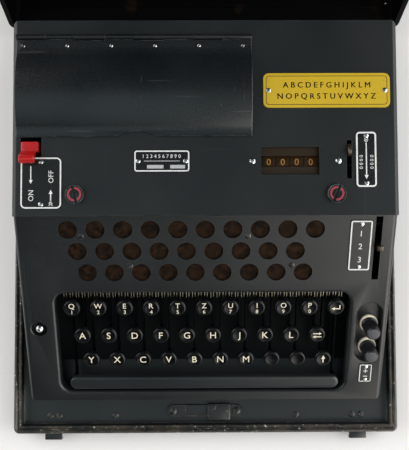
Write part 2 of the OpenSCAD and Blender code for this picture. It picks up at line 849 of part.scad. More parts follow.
module slotted_head(r, h, slot = 0.7) {
  difference() {
    cylinder(r = r, h = h);
    translate([-slot / 2, -2 * r, h / 2]) cube([slot, 4 * r, h]);
  }
}

module ball_stud() {
  cylinder(r = ball_neck[0], h = ball_neck[1]);
  translate([0, 0, ball_neck[1]]) sphere(r = ball_r);
}

module plates_and_screws() {
  translate([0, deck_front, deck_z])
    for (p = deck_plates) {
      plate(p);
      plate_rivets(p);
    }
  on_panel() mirror([0, 1, 0])
    for (p = panel_plates) {
      plate(p);
      plate_rivets(p);
    }
  color("#c9cbcc")
    for (x = counter_screws) translate([counter_x + x, counter_y, deck_z]) slotted_head(2.3, 1.2);
  color("#3a3d3f") {
    for (p = panel_screws) at_panel(p[0], p[1]) slotted_head(2.6, 0.8);
    for (side = [-1, 1], inset = floor_screws)
      translate([side * (case_w / 2 - inset), floor_screw_y, floor_z]) slotted_head(2.8, 1.2);
    at_panel(ball_x, ball_s, -cup_depth) ball_stud();
  }
}

// ---------- terminals ----------

module terminal_posts() {
  for (s = terminal_s) {
    color("#cbbd98") at_panel(terminal_x, s, -cup_depth) difference() {
      cylinder(r = ring_r, h = ring_t);
      cylinder(r = stud_r, h = far, center = true);
    }
    color("#b08a45") {
      at_panel(terminal_x, s, -cup_depth - wall - 2 * nut_t)
        cylinder(r = stud_r, h = cup_depth + wall + 2 * nut_t + stud_top);
      at_panel(terminal_x, s, -cup_depth - wall - nut_t) difference() {
        cylinder(r = nut_r, h = nut_t, $fn = 6);
        cylinder(r = stud_r, h = far, center = true);
      }
    }
  }
}

module terminal_knob(i) {
  color("#111214") at_panel(terminal_x, terminal_s[i], -cup_depth + ring_t + gap) difference() {
    union() {
      cylinder(d = knob_d + knob_flange[0], h = knob_flange[1]);
      cylinder(d = knob_d, h = knob_l);
      translate([0, 0, knob_l]) cylinder(d1 = knob_d, d2 = knob_d - knob_crown[0], h = knob_crown[1]);
    }
    cylinder(r = stud_r + run, h = 2 * (stud_top + cup_depth - ring_t), center = true);
    for (k = [0 : grooves - 1])
      rotate([0, 0, k * 360 / grooves]) translate([(knob_d + groove_r) / 2, 0, knob_flange[1] + weld])
        cylinder(r = groove_r, h = far, $fn = 24);
  }
}

// ---------- levers and locks ----------

module mode_lever() {
  front = -mode_block / 2;
  color("#b81c22") translate([mode_x, mode_y, deck_z - mode_drop]) difference() {
    union() {
      rod_x(control_pin_r + eye_wall, mode_w, -mode_w / 2);
      slab_x(mode_w - 4) translate([-2, 0]) square([4, mode_drop]);
      slab_x(mode_w) {
        translate([front, mode_drop - 4]) square([mode_block, mode_block_h]);
        polygon([
          [front, mode_drop + 2.5],
          [front + 5, mode_drop + 3],
          [front - 4.5, mode_drop + mode_lip[1] + 3],
          [front - 7, mode_drop + mode_lip[1] + 0.5]
        ]);
        translate([-mode_lip[0], mode_drop + mode_lip[1]]) circle(mode_lip_r);
      }
    }
    rotate([0, 90, 0]) cylinder(r = control_pin_r + run, h = far, center = true);
  }
}

module reset_lever() {
  color("#6b5e50") translate([reset_x, reset_y, deck_z - reset_drop]) rotate([-reset_pull / 2, 0, 0])
    difference() {
      slab_x(reset_t) {
        circle(control_pin_r + eye_wall);
        polygon([[-4, 0], [4, 0], [3.2, reset_drop], [-3.2, reset_drop]]);
        translate([0, reset_drop + 0.5]) circle(reset_tip_r);
      }
      rotate([0, 90, 0]) cylinder(r = control_pin_r + run, h = far, center = true);
    }
}

module power_lever() {
  tip = 5 - select_n;
  color("#3c3a38") at_panel(select_x, select_s, select_n) difference() {
    union() {
      slab_x(select_t) {
        circle(control_pin_r + eye_wall);
        polygon([[-3.5, 0], [3.5, 0], [2.2, tip], [-2.2, tip]]);
      }
      // finger tab bent over at the tip
      translate([-select_t / 2, -2.2, tip - 1.8]) cube([2 * select_t, 4.4, 2.4]);
    }
    rotate([0, 90, 0]) cylinder(r = control_pin_r + run, h = far, center = true);
  }
}

module lock_screw(i) {
  turn = lock_turns[i];
  head_z = deck_z + gap;
  tongue_z = rail_z - 4;
  color("#2a2527") translate([(2 * i - 1) * lock_x, lock_y, 0]) difference() {
    union() {
      translate([0, 0, head_z]) cylinder(d = lock_d, h = lock_t);
      rotate([0, 0, turn]) translate([0, 0, tongue_z]) {
        cylinder(r = lock_shank_r, h = head_z - tongue_z + weld);
        translate([-lock_tongue[0] / 2, -lock_tongue[1] / 2, 0]) cube(lock_tongue);
      }
    }
    rotate([0, 0, turn]) translate([-lock_slot_w / 2, -far / 2, head_z + lock_t - lock_slot_h])
      cube([lock_slot_w, far, cut]);
    translate([0, 0, head_z + lock_t - lock_ring[2]]) difference() {
      cylinder(r = lock_ring[1], h = cut);
      cylinder(r = lock_ring[0], h = 3 * cut, center = true);
    }
  }
}

// ---------- rotors ----------

module drive_wheel() {
  difference() {
    cylinder(r = wheel_r, h = drive_w, $fn = 96);
    cylinder(r = axle_r + run, h = far, center = true);
    for (i = [0 : letters - 1])
      rotate([0, 0, i * 360 / letters]) translate([wheel_r + 0.9, 0, 0])
        cylinder(r = 1.9, h = far, center = true, $fn = 24);
  }
}

module coded_rotor() {
  h = pair_pitch - drive_w - 0.6;
  difference() {
    union() {
      cylinder(r = rotor_r, h = h);
      translate([0, 0, h / 2 - 2]) cylinder(r = wheel_r - 0.6, h = 4);
    }
    cylinder(r = axle_r + run, h = far, center = true);
  }
}

module wheel_pair(i) {
  translate([stack_x0 + i * pair_pitch, axle_y, axle_z]) rotate([0, 90, 0]) {
    color("#9a8f78") translate([0, 0, 0.3]) drive_wheel();
    color("#3a2a22") translate([0, 0, 0.3 + drive_w]) coded_rotor();
  }
}

// ---------- counter ----------

module counter_drum(i) {
  color("#2a1d10")
    translate([counter_x + (1.5 - i) * drum_pitch, counter_y, counter_z]) rotate([0, 90, 0])
      difference() {
        union() {
          cylinder(r = drum_r, h = drum_w, center = true);
          cylinder(r = counter_shaft_r + 2, h = drum_pitch - 0.1, center = true);
        }
        cylinder(r = counter_shaft_r + run, h = far, center = true);
      }
}

// ---------- keys ----------

module lever_arm(l) {
  difference() {
    translate([0, -pivot_s, lever_n]) slab_x(lever_t) {
      circle(eye_r);
      translate([-l, -lever_h / 2]) square([l, lever_h]);
    }
    translate([0, -pivot_s, lever_n]) rotate([0, 90, 0])
      cylinder(r = key_shaft_r + run, h = far, center = true);
  }
}

// A lever with its stem up to a cap or bar
module key_lever(s, stem_top) {
  color("#8b8f92") {
    lever_arm(s - pivot_s + lever_end);
    translate([0, -s, stem_n - weld]) cylinder(r = stem_r, h = stem_top - stem_n + weld);
  }
}

module key(row, i) {
  s = rows[row][2];
  x = rows[row][1] + (i - (rows[row][0] - 1) / 2) * key_pitch;
  on_panel() translate([x, 0, 0]) {
    key_lever(s, key_top - key_t + weld);
    color("#121315") translate([0, -s, key_top - key_t]) difference() {
      union() {
        cylinder(d = key_d, h = key_t - cap_bevel);
        cylinder(d = key_d - 2 * cap_bevel + 0.2, h = key_t);
      }
      translate([0, 0, key_t - cap_dish]) cylinder(d = key_d - 2 * cap_rim, h = cut);
    }
  }
}

module space_bar() {
  space_r = space_w / 2 - 0.1;
  color("#39474b") at_panel(space_x, space_s, space_top - space_t) difference() {
    linear_extrude(space_t) round_rect(space_l, space_w, space_r);
    translate([0, 0, -1]) linear_extrude(space_t + 1 - space_wall)
      round_rect(space_l - 2 * space_wall, space_w - 2 * space_wall, space_r - space_wall);
  }
  on_panel()
    for (side = [-1, 1])
      translate([space_x + side * space_arm_x, 0, 0]) key_lever(space_s, space_top - space_wall + weld);
}

// ---------- build ----------

case_base();
case_feet();
case_lid();
front_cover();
top_cover();
rotor_cover();
chassis();
rotor_shaft();
electrics();
indicator_windows();
terminal_posts();
plates_and_screws();
mode_lever();
reset_lever();
power_lever();
lock_screw(0);  // lock_screw_left
lock_screw(1);  // lock_screw_right
terminal_knob(0);  // terminal_knob_upper
terminal_knob(1);  // terminal_knob_lower
wheel_pair(0);  // wheel_pair_1
wheel_pair(1);  // wheel_pair_2
wheel_pair(2);  // wheel_pair_3
wheel_pair(3);  // wheel_pair_4
wheel_pair(4);  // wheel_pair_5
counter_drum(0);  // counter_units
counter_drum(1);  // counter_tens
counter_drum(2);  // counter_hundreds
counter_drum(3);  // counter_thousands
space_bar();
key(0, 0);  // key_q
key(0, 1);  // key_w
key(0, 2);  // key_e
key(0, 3);  // key_r
key(0, 4);  // key_t
key(0, 5);  // key_z
key(0, 6);  // key_u
key(0, 7);  // key_i
key(0, 8);  // key_o
key(0, 9);  // key_p
key(0, 10);  // key_return
key(1, 0);  // key_a
key(1, 1);  // key_s
key(1, 2);  // key_d
key(1, 3);  // key_f
key(1, 4);  // key_g
key(1, 5);  // key_h
key(1, 6);  // key_j
key(1, 7);  // key_k
key(1, 8);  // key_l
key(1, 9);  // key_figures
key(2, 0);  // key_y
key(2, 1);  // key_x
key(2, 2);  // key_c
key(2, 3);  // key_v
key(2, 4);  // key_b
key(2, 5);  // key_n
key(2, 6);  // key_m
key(2, 7);  // key_blank_1
key(2, 8);  // key_blank_2
key(2, 9);  // key_shift
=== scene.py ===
"""Rotor cipher machine in its transport case, lid open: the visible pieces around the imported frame.

Pieces are drawn in millimetres in one of four places: the table, the flat deck, the sloped panel or the
closed lid. The place's matrix turns them to metres in the frame.
"""
import json
import math

import bmesh
import bpy
from bpy.props import FloatProperty, FloatVectorProperty, IntProperty, PointerProperty
from mathutils import Matrix, Vector


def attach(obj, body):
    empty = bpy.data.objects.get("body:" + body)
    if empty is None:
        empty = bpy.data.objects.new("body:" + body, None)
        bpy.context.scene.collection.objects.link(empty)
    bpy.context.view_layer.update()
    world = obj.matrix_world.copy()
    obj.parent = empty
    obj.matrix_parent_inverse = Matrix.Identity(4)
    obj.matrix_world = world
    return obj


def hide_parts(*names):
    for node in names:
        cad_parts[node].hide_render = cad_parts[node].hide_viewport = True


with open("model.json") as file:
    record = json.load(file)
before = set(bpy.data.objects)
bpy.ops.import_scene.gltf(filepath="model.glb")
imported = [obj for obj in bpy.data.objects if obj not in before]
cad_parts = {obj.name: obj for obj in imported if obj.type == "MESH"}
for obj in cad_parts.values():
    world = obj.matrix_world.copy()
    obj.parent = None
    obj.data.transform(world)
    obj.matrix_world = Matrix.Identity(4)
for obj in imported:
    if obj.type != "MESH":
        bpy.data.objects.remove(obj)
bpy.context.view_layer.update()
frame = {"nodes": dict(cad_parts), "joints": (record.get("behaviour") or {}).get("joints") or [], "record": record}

bl_info = {
    "name": "Rotor cipher machine",
    "version": (1, 0, 0),
    "blender": (4, 5, 0),
    "location": "View3D > Sidebar > Cipher",
    "description": "Builds the visible pieces of a rotor cipher machine around its frame",
    "category": "Object",
}

MM = 0.001
JOINTS = {joint["name"]: joint for joint in frame["joints"]}

# ---------- places, in millimetres ----------

TERMINAL_S = (101, 122.9)          # the two terminals, down the slope from the panel's top edge
TERMINAL_X = 139.4
terminal_joint = JOINTS["terminal_upper_turn"]
SLOPE = math.atan2(-terminal_joint["axis"][1], terminal_joint["axis"][2])
DECK_FRONT = terminal_joint["pos_m"][1] / MM + TERMINAL_S[0] * math.cos(SLOPE)
SLOPE_TOP = terminal_joint["pos_m"][2] / MM + TERMINAL_S[0] * math.sin(SLOPE)
DECK_Z = JOINTS["lock_left_turn"]["pos_m"][2] / MM
LID_HINGE = Vector(JOINTS["lid_swing"]["pos_m"]) / MM
LID_OPEN = -JOINTS["lid_swing"]["range_deg"][0]

TABLE = Matrix.Scale(MM, 4)
PANEL = TABLE @ Matrix.Translation((0, DECK_FRONT, SLOPE_TOP)) @ Matrix.Rotation(SLOPE, 4, "X")
DECK = TABLE @ Matrix.Translation((0, DECK_FRONT, DECK_Z))
LID = (TABLE @ Matrix.Translation(LID_HINGE) @ Matrix.Rotation(math.radians(-LID_OPEN), 4, "X")
       @ Matrix.Translation(-LID_HINGE))

# Case
UNDER_Z = 8                        # underside of the case base
FLOOR_Z = 9.5                      # top of its floor
RIM_Z = 18
LID_Z = RIM_Z + 0.3                # edge of the closed lid
CASE_R = 5

# Sloped panel: n is the height above its face, s the distance down from its top edge
WELL_X = (-126, 121)
WELL_S = (68.5, 164.2)
CUP_X, CUP_S, CUP_R, CUP_DEPTH = 138.2, (78.5, 135.2), 10.8, 8
BALL_X, BALL_S, BALL_R = -140.7, 102, 3.8
SELECT_X, SELECT_S, SELECT_N = 139.4, 27, -38
KEY_PITCH = 22.15
KEY_ROWS = ((11, -1.5, 82.5), (10, -5, 108.5), (10, 1.3, 132))       # keys, middle x, s
KEY_NAMES = (
    ("q", "w", "e", "r", "t", "z", "u", "i", "o", "p", "return"),
    ("a", "s", "d", "f", "g", "h", "j", "k", "l", "figures"),
    ("y", "x", "c", "v", "b", "n", "m", "blank_1", "blank_2", "shift"),
)
KEY_TOP = 1                        # top of a cap above the panel
PIVOT_S, LEVER_N = 14, -18.5       # the shaft that carries the key levers
LEVER_H, LEVER_T = 7, 1.6
STEM_R = 1.7
SPACE_X, SPACE_S, SPACE_TOP = -1.2, 155.6, 0.5
COMB_S, COMB_TOP = 70, -6
TRAY_S = 150                       # front edge of the plate under the key levers
LAMP_ROWS = ((10, -111.2, 11.8), (9, -104.4, 30.7), (9, -97.3, 49.7))  # lamps, first x, s
LAMP_N = -3.5                      # back of the lamp windows

# Deck: y is the distance behind its front edge
LOCK_X, LOCK_Y = 103.7, 16.9
COUNTER_X, COUNTER_Y = 67.4, 43.2
DRUM_R, DRUM_PITCH = 13, 11.2
MODE_X, MODE_Y, MODE_DROP = -139.3, 54.8, 22
RESET_X, RESET_Y, RESET_DROP = 114.25, 44.3, 30
RESET_LEAN = 14                    # degrees back from upright, at rest
COVER_X, COVER_W, COVER_D = -56.6, 188, 110
COVER_BACK = 141.3
AXLE_Y, AXLE_DROP = 99.3, 22.5
STACK_X, PAIR_PITCH, PAIRS = -141.5, 33.4, 5
DRIVE_W, LETTER_RING_R, LETTER_RING_X = 12.5, 25.4, 22.95
PLATE_T = 1
PRINT = PLATE_T + 0.03             # height of a plate's print


# ---------- sizes and colours that a user would change ----------

def linear(hex_text):
    """A linear colour from an sRGB hex value."""
    parts = [int(hex_text[i:i + 2], 16) / 255 for i in (1, 3, 5)]
    return [p / 12.92 if p <= 0.04045 else ((p + 0.055) / 1.055) ** 2.4 for p in parts]


def length(name, description, millimetres, low, high):
    return FloatProperty(name=name, description=description, default=millimetres * MM,
                         min=low * MM, max=high * MM, precision=5, subtype="DISTANCE", unit="LENGTH")


def colour(name, description, hex_text):
    return FloatVectorProperty(name=name, description=description, default=linear(hex_text),
                               size=3, min=0, max=1, subtype="COLOR")


class CipherSizes(bpy.types.PropertyGroup):
    case_width: length("Case width", "Width over the case base's rim", 345, 340, 352)
    case_depth: length("Case depth", "Depth over the case base's rim", 362, 356, 370)
    lid_height: length("Lid height", "Height of the lid, rim to top", 107, 104, 118)
    foot_height: length("Foot height", "Height of the rubber feet", 8, 6, 12)
    key_diameter: length("Key diameter", "Diameter of a key cap", 14.9, 12, 15.5)
    key_height: length("Key height", "Thickness of a key cap", 4.5, 3, 5.5)
    space_length: length("Space bar length", "Length of the space bar", 234, 210, 236)
    space_width: length("Space bar width", "Width of the space bar", 12, 9, 12.5)
    lamp_diameter: length("Lamp diameter", "Diameter of a lamp window's hole", 15.5, 12, 16.5)
    knob_diameter: length("Knob diameter", "Diameter of the terminal knobs", 12, 10, 13.5)
    edge_radius: length("Edge radius", "Rounding of pressed sheet edges", 0.5, 0.1, 1)
    bars: IntProperty(name="Contact springs", description="Contact springs along the comb",
                      default=46, min=20, max=60)


class CipherColours(bpy.types.PropertyGroup):
    housing: colour("Housing", "Stove enamel of the housing", "#0e1315")
    case: colour("Case", "Enamel of the case base and lid", "#13181a")
    wear: colour("Wear", "Browned steel where the enamel has worn off", "#6a5f4e")
    bare: colour("Bare metal", "Fresh chips in the enamel", "#b9b6ac")
    lining: colour("Lining", "Matt black inside of the lid", "#050505")
    red: colour("Red", "Red enamel of the mode lever", "#a60f12")
    space: colour("Space bar", "Grey-green enamel of the space bar", "#12191b")
    cream: colour("Cream", "Paint in the keys' letters", "#e6dcc4")
    key: colour("Key", "Black moulded resin of the keys", "#0a0b0d")
    lamp: colour("Lamp window", "Brown film behind the lamp holes", "#19120b")
    yellow: colour("Yellow", "Yellow enamel of the long plate", "#be9f18")
    white: colour("White", "White print on the plates", "#d9dbd8")
    amber: colour("Amber", "Figures of the counter", "#ffb54f")
    floor: colour("Floor", "Pale floor under the machine", "#e2e1df")


def sizes():
    return bpy.context.scene.cipher_sizes


def tones():
    return bpy.context.scene.cipher_colours


# ---------- mesh helpers: everything in millimetres ----------

def ring(radius, z=0.0, steps=48, centre=(0, 0)):
    """A level circle of points."""
    return [Vector((centre[0] + radius * math.cos(math.tau * i / steps),
                    centre[1] + radius * math.sin(math.tau * i / steps), z)) for i in range(steps)]


def rounded(x0, x1, y0, y1, radius, z=0.0, steps=6):
    """A level rectangle of points with round corners, anticlockwise from above."""
    radius = max(radius, 0.05)
    points = []
    for k, (cx, cy) in enumerate(((x1 - radius, y1 - radius), (x0 + radius, y1 - radius),
                                  (x0 + radius, y0 + radius), (x1 - radius, y0 + radius))):
        for i in range(steps + 1):
            turn = math.pi / 2 * (k + i / steps)
            points.append(Vector((cx + radius * math.cos(turn), cy + radius * math.sin(turn), z)))
    return points


def loft(bm, loops, finish=0, closed=False):
    """Joins loops of equal length with quads, and closes the two ends or joins them."""
    rows = [[bm.verts.new(p) for p in loop] for loop in loops]
    pairs = list(zip(rows, rows[1:] + ([rows[0]] if closed else [])))
    faces = []
    for a, b in pairs:
        for i in range(len(a)):
            j = (i + 1) % len(a)
            faces.append(bm.faces.new((a[i], a[j], b[j], b[i])))
    if not closed:
        faces.append(bm.faces.new(rows[0][::-1]))
        faces.append(bm.faces.new(rows[-1]))
    for face in faces:
        face.material_index = finish
    return faces


def lathe(bm, profile, finish=0, steps=48, place=None):
    """A round solid about z from (radius, height) points, bottom to top."""
    place = place or Matrix()
    loft(bm, [[place @ p for p in ring(max(r, 0.02), z, steps)] for r, z in profile], finish)


def block(bm, low, high, finish=0, radius=0.3, place=None):
    """A block with rounded edges."""
    made = bmesh.ops.create_cube(bm, size=1)["verts"]
    size = Vector(high) - Vector(low)
    middle = (Vector(high) + Vector(low)) / 2
    bmesh.ops.transform(bm, matrix=Matrix.Translation(middle) @ Matrix.Diagonal((*size, 1)), verts=made)
    faces = {f for v in made for f in v.link_faces}
    for face in faces:
        face.material_index = finish
    edges = {e for v in made for e in v.link_edges}
    if radius > 0:
        rounded_off = bmesh.ops.bevel(bm, geom=list(edges), offset=radius, segments=2, profile=0.5,
                                      affect="EDGES", clamp_overlap=True)
        for face in rounded_off["faces"]:
            face.material_index = finish
        made = list({v for f in faces | set(rounded_off["faces"]) if f.is_valid for v in f.verts})
    if place is not None:
        bmesh.ops.transform(bm, matrix=place, verts=made)


def slab(bm, outline, x0, x1, finish=0, radius=0.3):
    """A plate across x from (y, z) points, its two outlines rounded off."""
    def loop(x, inset):
        middle = sum((Vector(p) for p in outline), Vector((0, 0))) / len(outline)
        points = []
        for p in outline:
            away = Vector(p) - middle
            points.append(middle + away * max(0.2, 1 - inset / max(away.length, inset)))
        return [Vector((x, p[0], p[1])) for p in points]
    loft(bm, [loop(x0, radius), loop(x0 + radius, 0), loop(x1 - radius, 0), loop(x1, radius)], finish)


def arc(radius, start, end, steps=8, centre=(0, 0)):
    """Points of an arc, angles in degrees."""
    turns = [math.radians(start + (end - start) * i / steps) for i in range(steps + 1)]
    return [(centre[0] + radius * math.cos(t), centre[1] + radius * math.sin(t)) for t in turns]


def letters(bm, text, height, point, finish=0, turn=0.0, rise=0.12, bend=None):
    """Raised figures, their middle at a point; height is that of a capital."""
    if text not in GLYPHS:
        curve = bpy.data.curves.new("letters", "FONT")
        curve.body = text
        curve.resolution_u = 3
        curve.extrude = 0.5
        carrier = new_object("letters", curve)
        graph = bpy.context.evaluated_depsgraph_get()
        GLYPHS[text] = bpy.data.meshes.new_from_object(carrier.evaluated_get(graph))
        bpy.data.objects.remove(carrier)
        bpy.data.curves.remove(curve)
    mesh = GLYPHS[text].copy()
    scale = height / CAPITAL
    low = min(v.co.x for v in mesh.vertices)
    high = max(v.co.x for v in mesh.vertices)
    centre = Matrix.Translation((-(low + high) / 2, -CAPITAL / 2, 0))
    matrix = (Matrix.Translation(point) @ Matrix.Rotation(math.radians(turn), 4, "Z")
              @ Matrix.Diagonal((scale, scale, rise, 1)) @ centre)
    add_mesh(bm, mesh, matrix, finish, bend)


CAPITAL = 0.729                    # height of a capital in Blender's own font, size 1
GLYPHS = {}                        # meshes of the texts made so far


def add_mesh(bm, mesh, matrix, finish=None, bend=None):
    """Adds a mesh to the one being made, then drops it.

    It keeps its own finishes unless one is given. bend moves each of its points, once in place.
    """
    mesh.transform(matrix)
    for vert in mesh.vertices if bend else ():
        vert.co = bend(vert.co)
    for polygon in mesh.polygons if finish is not None else ():
        polygon.material_index = finish
    bm.from_mesh(mesh)
    bpy.data.meshes.remove(mesh)


SMOOTH = 35                        # degrees; sharper edges are shaded as edges


def to_mesh(bm, name):
    """Ends a mesh in the making."""
    mesh = bpy.data.meshes.new(name)
    bm.to_mesh(mesh)
    bm.free()
    return mesh


def new_object(name, data):
    """An object in the scene for a mesh, text, lamp or camera."""
    made = bpy.data.objects.new(name, data)
    bpy.context.scene.collection.objects.link(made)
    return made


def grown_piece(name, mesh, finish_name, place, body, node):
    """A piece made only of what one tree has grown."""
    bm = bmesh.new()
    add_mesh(bm, mesh, Matrix())
    piece(name, bm, finishes(finish_name), place, body, (node,))


def piece(name, bm, finishes, place, body, stands_for):
    """Turns a mesh in the making into a piece that rides on a body."""
    bmesh.ops.transform(bm, matrix=place, verts=bm.verts)
    bmesh.ops.recalc_face_normals(bm, faces=bm.faces)
    return keep(name, to_mesh(bm, name), finishes, body, stands_for)


def keep(name, mesh, finishes, body, stands_for):
    """Makes a finished mesh a piece of the machine."""
    for material in finishes:
        mesh.materials.append(material)
    for polygon in mesh.polygons:
        polygon.use_smooth = True
    mesh.set_sharp_from_angle(angle=math.radians(SMOOTH))
    made = new_object(name, mesh)
    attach(made, body)
    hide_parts(*stands_for)
    return made


def inside(place, low, high):
    """A test: is a point of the frame within this box of a place, in millimetres?"""
    back = place.inverted()

    def test(point):
        return all(a <= c <= b for a, c, b in zip(low, back @ point, high))
    return test


def softened(name, node, finish_names, width, rolled=(), painted=()):
    """A copy of a frame node with its edges rounded off, which stands for the node.

    rolled lists (test, width) pairs: edges whose middle passes the test get that rounding first.
    painted lists tests: faces that lie wholly within one get the next finish.
    """
    bm = bmesh.new()
    bm.from_mesh(frame["nodes"][node].data)
    bmesh.ops.remove_doubles(bm, verts=bm.verts, dist=0.002 * MM)
    bmesh.ops.dissolve_limit(bm, angle_limit=math.radians(0.6), verts=bm.verts, edges=bm.edges)
    for face in bm.faces:
        face.material_index = next((i for i, test in enumerate(painted, 1)
                                    if all(test(v.co) for v in face.verts)), 0)
    for test, radius in rolled:
        sharp = [e for e in bm.edges if len(e.link_faces) == 2 and e.calc_face_angle(0) > 1.2
                 and test((e.verts[0].co + e.verts[1].co) / 2)]
        bmesh.ops.bevel(bm, geom=sharp, offset=radius * MM, segments=5, profile=0.5,
                        affect="EDGES", clamp_overlap=False)
    body = next(b for b, members in frame["record"]["behaviour"]["bodies"].items() if node in members)
    made = keep(name, to_mesh(bm, name), finishes(*finish_names), body, (node,))
    bevel = made.modifiers.new("edges", "BEVEL")
    bevel.width = width * MM
    bevel.segments = 2
    bevel.limit_method = "ANGLE"
    bevel.angle_limit = math.radians(50)
    bevel.use_clamp_overlap = True
    bevel.harden_normals = True
    return made


# ---------- Geometry Nodes for what repeats ----------

def add(tree, kind, settings=None, inputs=None):
    """Adds a node: settings are its properties, inputs its values or the sockets that feed them."""
    made = tree.nodes.new(kind)
    for name, value in (settings or {}).items():
        setattr(made, name, value)
    for name, value in (inputs or {}).items():
        if isinstance(value, bpy.types.NodeSocket):
            tree.links.new(value, made.inputs[name])
        else:
            made.inputs[name].default_value = value
    return made


def new_tree(name, inputs):
    """A geometry tree with named inputs: (name, socket type, default)."""
    tree = bpy.data.node_groups.new(name, "GeometryNodeTree")
    tree.interface.new_socket("Geometry", in_out="INPUT", socket_type="NodeSocketGeometry")
    tree.interface.new_socket("Geometry", in_out="OUTPUT", socket_type="NodeSocketGeometry")
    for label, kind, default in inputs:
        socket = tree.interface.new_socket(label, in_out="INPUT", socket_type=kind)
        if default is not None:
            socket.default_value = default
    return tree, add(tree, "NodeGroupInput").outputs


def close_tree(tree, instances, material):
    """Ends a tree: real meshes, one material."""
    real = add(tree, "GeometryNodeRealizeInstances", inputs={"Geometry": instances})
    painted = add(tree, "GeometryNodeSetMaterial",
                  inputs={"Geometry": real.outputs["Geometry"], "Material": material})
    add(tree, "NodeGroupOutput", inputs={"Geometry": painted.outputs["Geometry"]})
    return tree


def heads_tree():
    """Screws, rivets and the like: one head on every point, each turned by chance."""
    tree, given = new_tree("heads", (
        ("Head", "NodeSocketObject", None), ("Size", "NodeSocketFloat", 1.0),
        ("Turn", "NodeSocketFloat", math.tau), ("Seed", "NodeSocketInt", 7),
        ("Material", "NodeSocketMaterial", None)))
    head = add(tree, "GeometryNodeObjectInfo", inputs={"Object": given["Head"], "As Instance": True})
    turn = add(tree, "FunctionNodeRandomValue", {"data_type": "FLOAT"})
    tree.links.new(given["Turn"], turn.inputs[3])
    tree.links.new(given["Seed"], turn.inputs["Seed"])
    spun = add(tree, "ShaderNodeCombineXYZ", inputs={"Z": turn.outputs[1]})
    placed = add(tree, "GeometryNodeInstanceOnPoints",
                 inputs={"Points": given["Geometry"], "Instance": head.outputs["Geometry"],
                         "Rotation": spun.outputs["Vector"], "Scale": given["Size"]})
    return close_tree(tree, placed.outputs["Instances"], given["Material"])


def row_tree():
    """A straight row of one shape, such as the comb's springs or the lid's ridges."""
    tree, given = new_tree("row", (
        ("Shape", "NodeSocketObject", None), ("Count", "NodeSocketInt", 10),
        ("Start", "NodeSocketVector", None), ("Step", "NodeSocketVector", None),
        ("Material", "NodeSocketMaterial", None)))
    shape = add(tree, "GeometryNodeObjectInfo", inputs={"Object": given["Shape"], "As Instance": True})
    line = add(tree, "GeometryNodeMeshLine", {"mode": "OFFSET"},
               {"Count": given["Count"], "Start Location": given["Start"], "Offset": given["Step"]})
    placed = add(tree, "GeometryNodeInstanceOnPoints",
                 inputs={"Points": line.outputs["Mesh"], "Instance": shape.outputs["Geometry"]})
    return close_tree(tree, placed.outputs["Instances"], given["Material"])


def crown_tree():
    """One shape round and round an axis, such as knurls and teeth."""
    tree, given = new_tree("crown", (
        ("Shape", "NodeSocketObject", None), ("Count", "NodeSocketInt", 24),
        ("Radius", "NodeSocketFloat", 5.0), ("Material", "NodeSocketMaterial", None)))
    shape = add(tree, "GeometryNodeObjectInfo", inputs={"Object": given["Shape"], "As Instance": True})
    circle = add(tree, "GeometryNodeMeshCircle",
                 inputs={"Vertices": given["Count"], "Radius": given["Radius"]})
    index = add(tree, "GeometryNodeInputIndex")
    step = add(tree, "ShaderNodeMath", {"operation": "DIVIDE"}, {0: math.tau, 1: given["Count"]})
    turn = add(tree, "ShaderNodeMath", {"operation": "MULTIPLY"},
               {0: index.outputs["Index"], 1: step.outputs["Value"]})
    spun = add(tree, "ShaderNodeCombineXYZ", inputs={"Z": turn.outputs["Value"]})
    placed = add(tree, "GeometryNodeInstanceOnPoints",
                 inputs={"Points": circle.outputs["Mesh"], "Instance": shape.outputs["Geometry"],
                         "Rotation": spun.outputs["Vector"]})
    return close_tree(tree, placed.outputs["Instances"], given["Material"])


def grown(tree, bm_shape, shape_socket, points, **values):
    """The mesh that a tree makes from one shape, with the modifier gone again."""
    bmesh.ops.recalc_face_normals(bm_shape, faces=bm_shape.faces)
    shape = new_object("shape", to_mesh(bm_shape, "shape"))
    point_mesh = bpy.data.meshes.new("points")
    point_mesh.from_pydata([tuple(p) for p in points], [], [])
    carrier = new_object("carrier", point_mesh)
    modifier = carrier.modifiers.new("grow", "NODES")
    modifier.node_group = tree
    names = {item.name: item.identifier for item in tree.interface.items_tree
             if item.in_out == "INPUT" and item.item_type == "SOCKET"}
    modifier[names[shape_socket]] = shape
    for label, value in values.items():
        modifier[names[label.replace("_", " ")]] = value
    graph = bpy.context.evaluated_depsgraph_get()
    mesh = bpy.data.meshes.new_from_object(carrier.evaluated_get(graph))
    carrier.modifiers.remove(modifier)
    for temporary in (carrier, shape):
        bpy.data.objects.remove(temporary)
    return mesh


# ---------- materials ----------

def finish(name, base, roughness, metallic=0.0):
    """A new material: itself, its tree, its shader and the Object coordinates."""
    material = bpy.data.materials.new(name)
    material.use_nodes = True
    tree = material.node_tree
    shader = tree.nodes["Principled BSDF"]
    shader.inputs["Base Color"].default_value = (*base, 1)
    shader.inputs["Roughness"].default_value = roughness
    shader.inputs["Metallic"].default_value = metallic
    return material, tree, shader, add(tree, "ShaderNodeTexCoord").outputs["Object"]


def noise(tree, where, size, detail=3.0, stretch=(1, 1, 1), turn=0.0):
    """Noise whose features are about size millimetres across."""
    laid = add(tree, "ShaderNodeMapping",
               inputs={"Vector": where, "Scale": stretch, "Rotation": (0, 0, math.radians(turn))})
    return add(tree, "ShaderNodeTexNoise", inputs={"Vector": laid.outputs["Vector"],
                                                   "Scale": 1 / (size * MM), "Detail": detail}).outputs["Fac"]


def between(tree, value, low, high, to_low=0.0, to_high=1.0):
    """Spreads a value's stretch from low to high over another stretch, and clamps it."""
    return add(tree, "ShaderNodeMapRange", inputs={"Value": value, "From Min": low, "From Max": high,
                                                   "To Min": to_low, "To Max": to_high}).outputs["Result"]


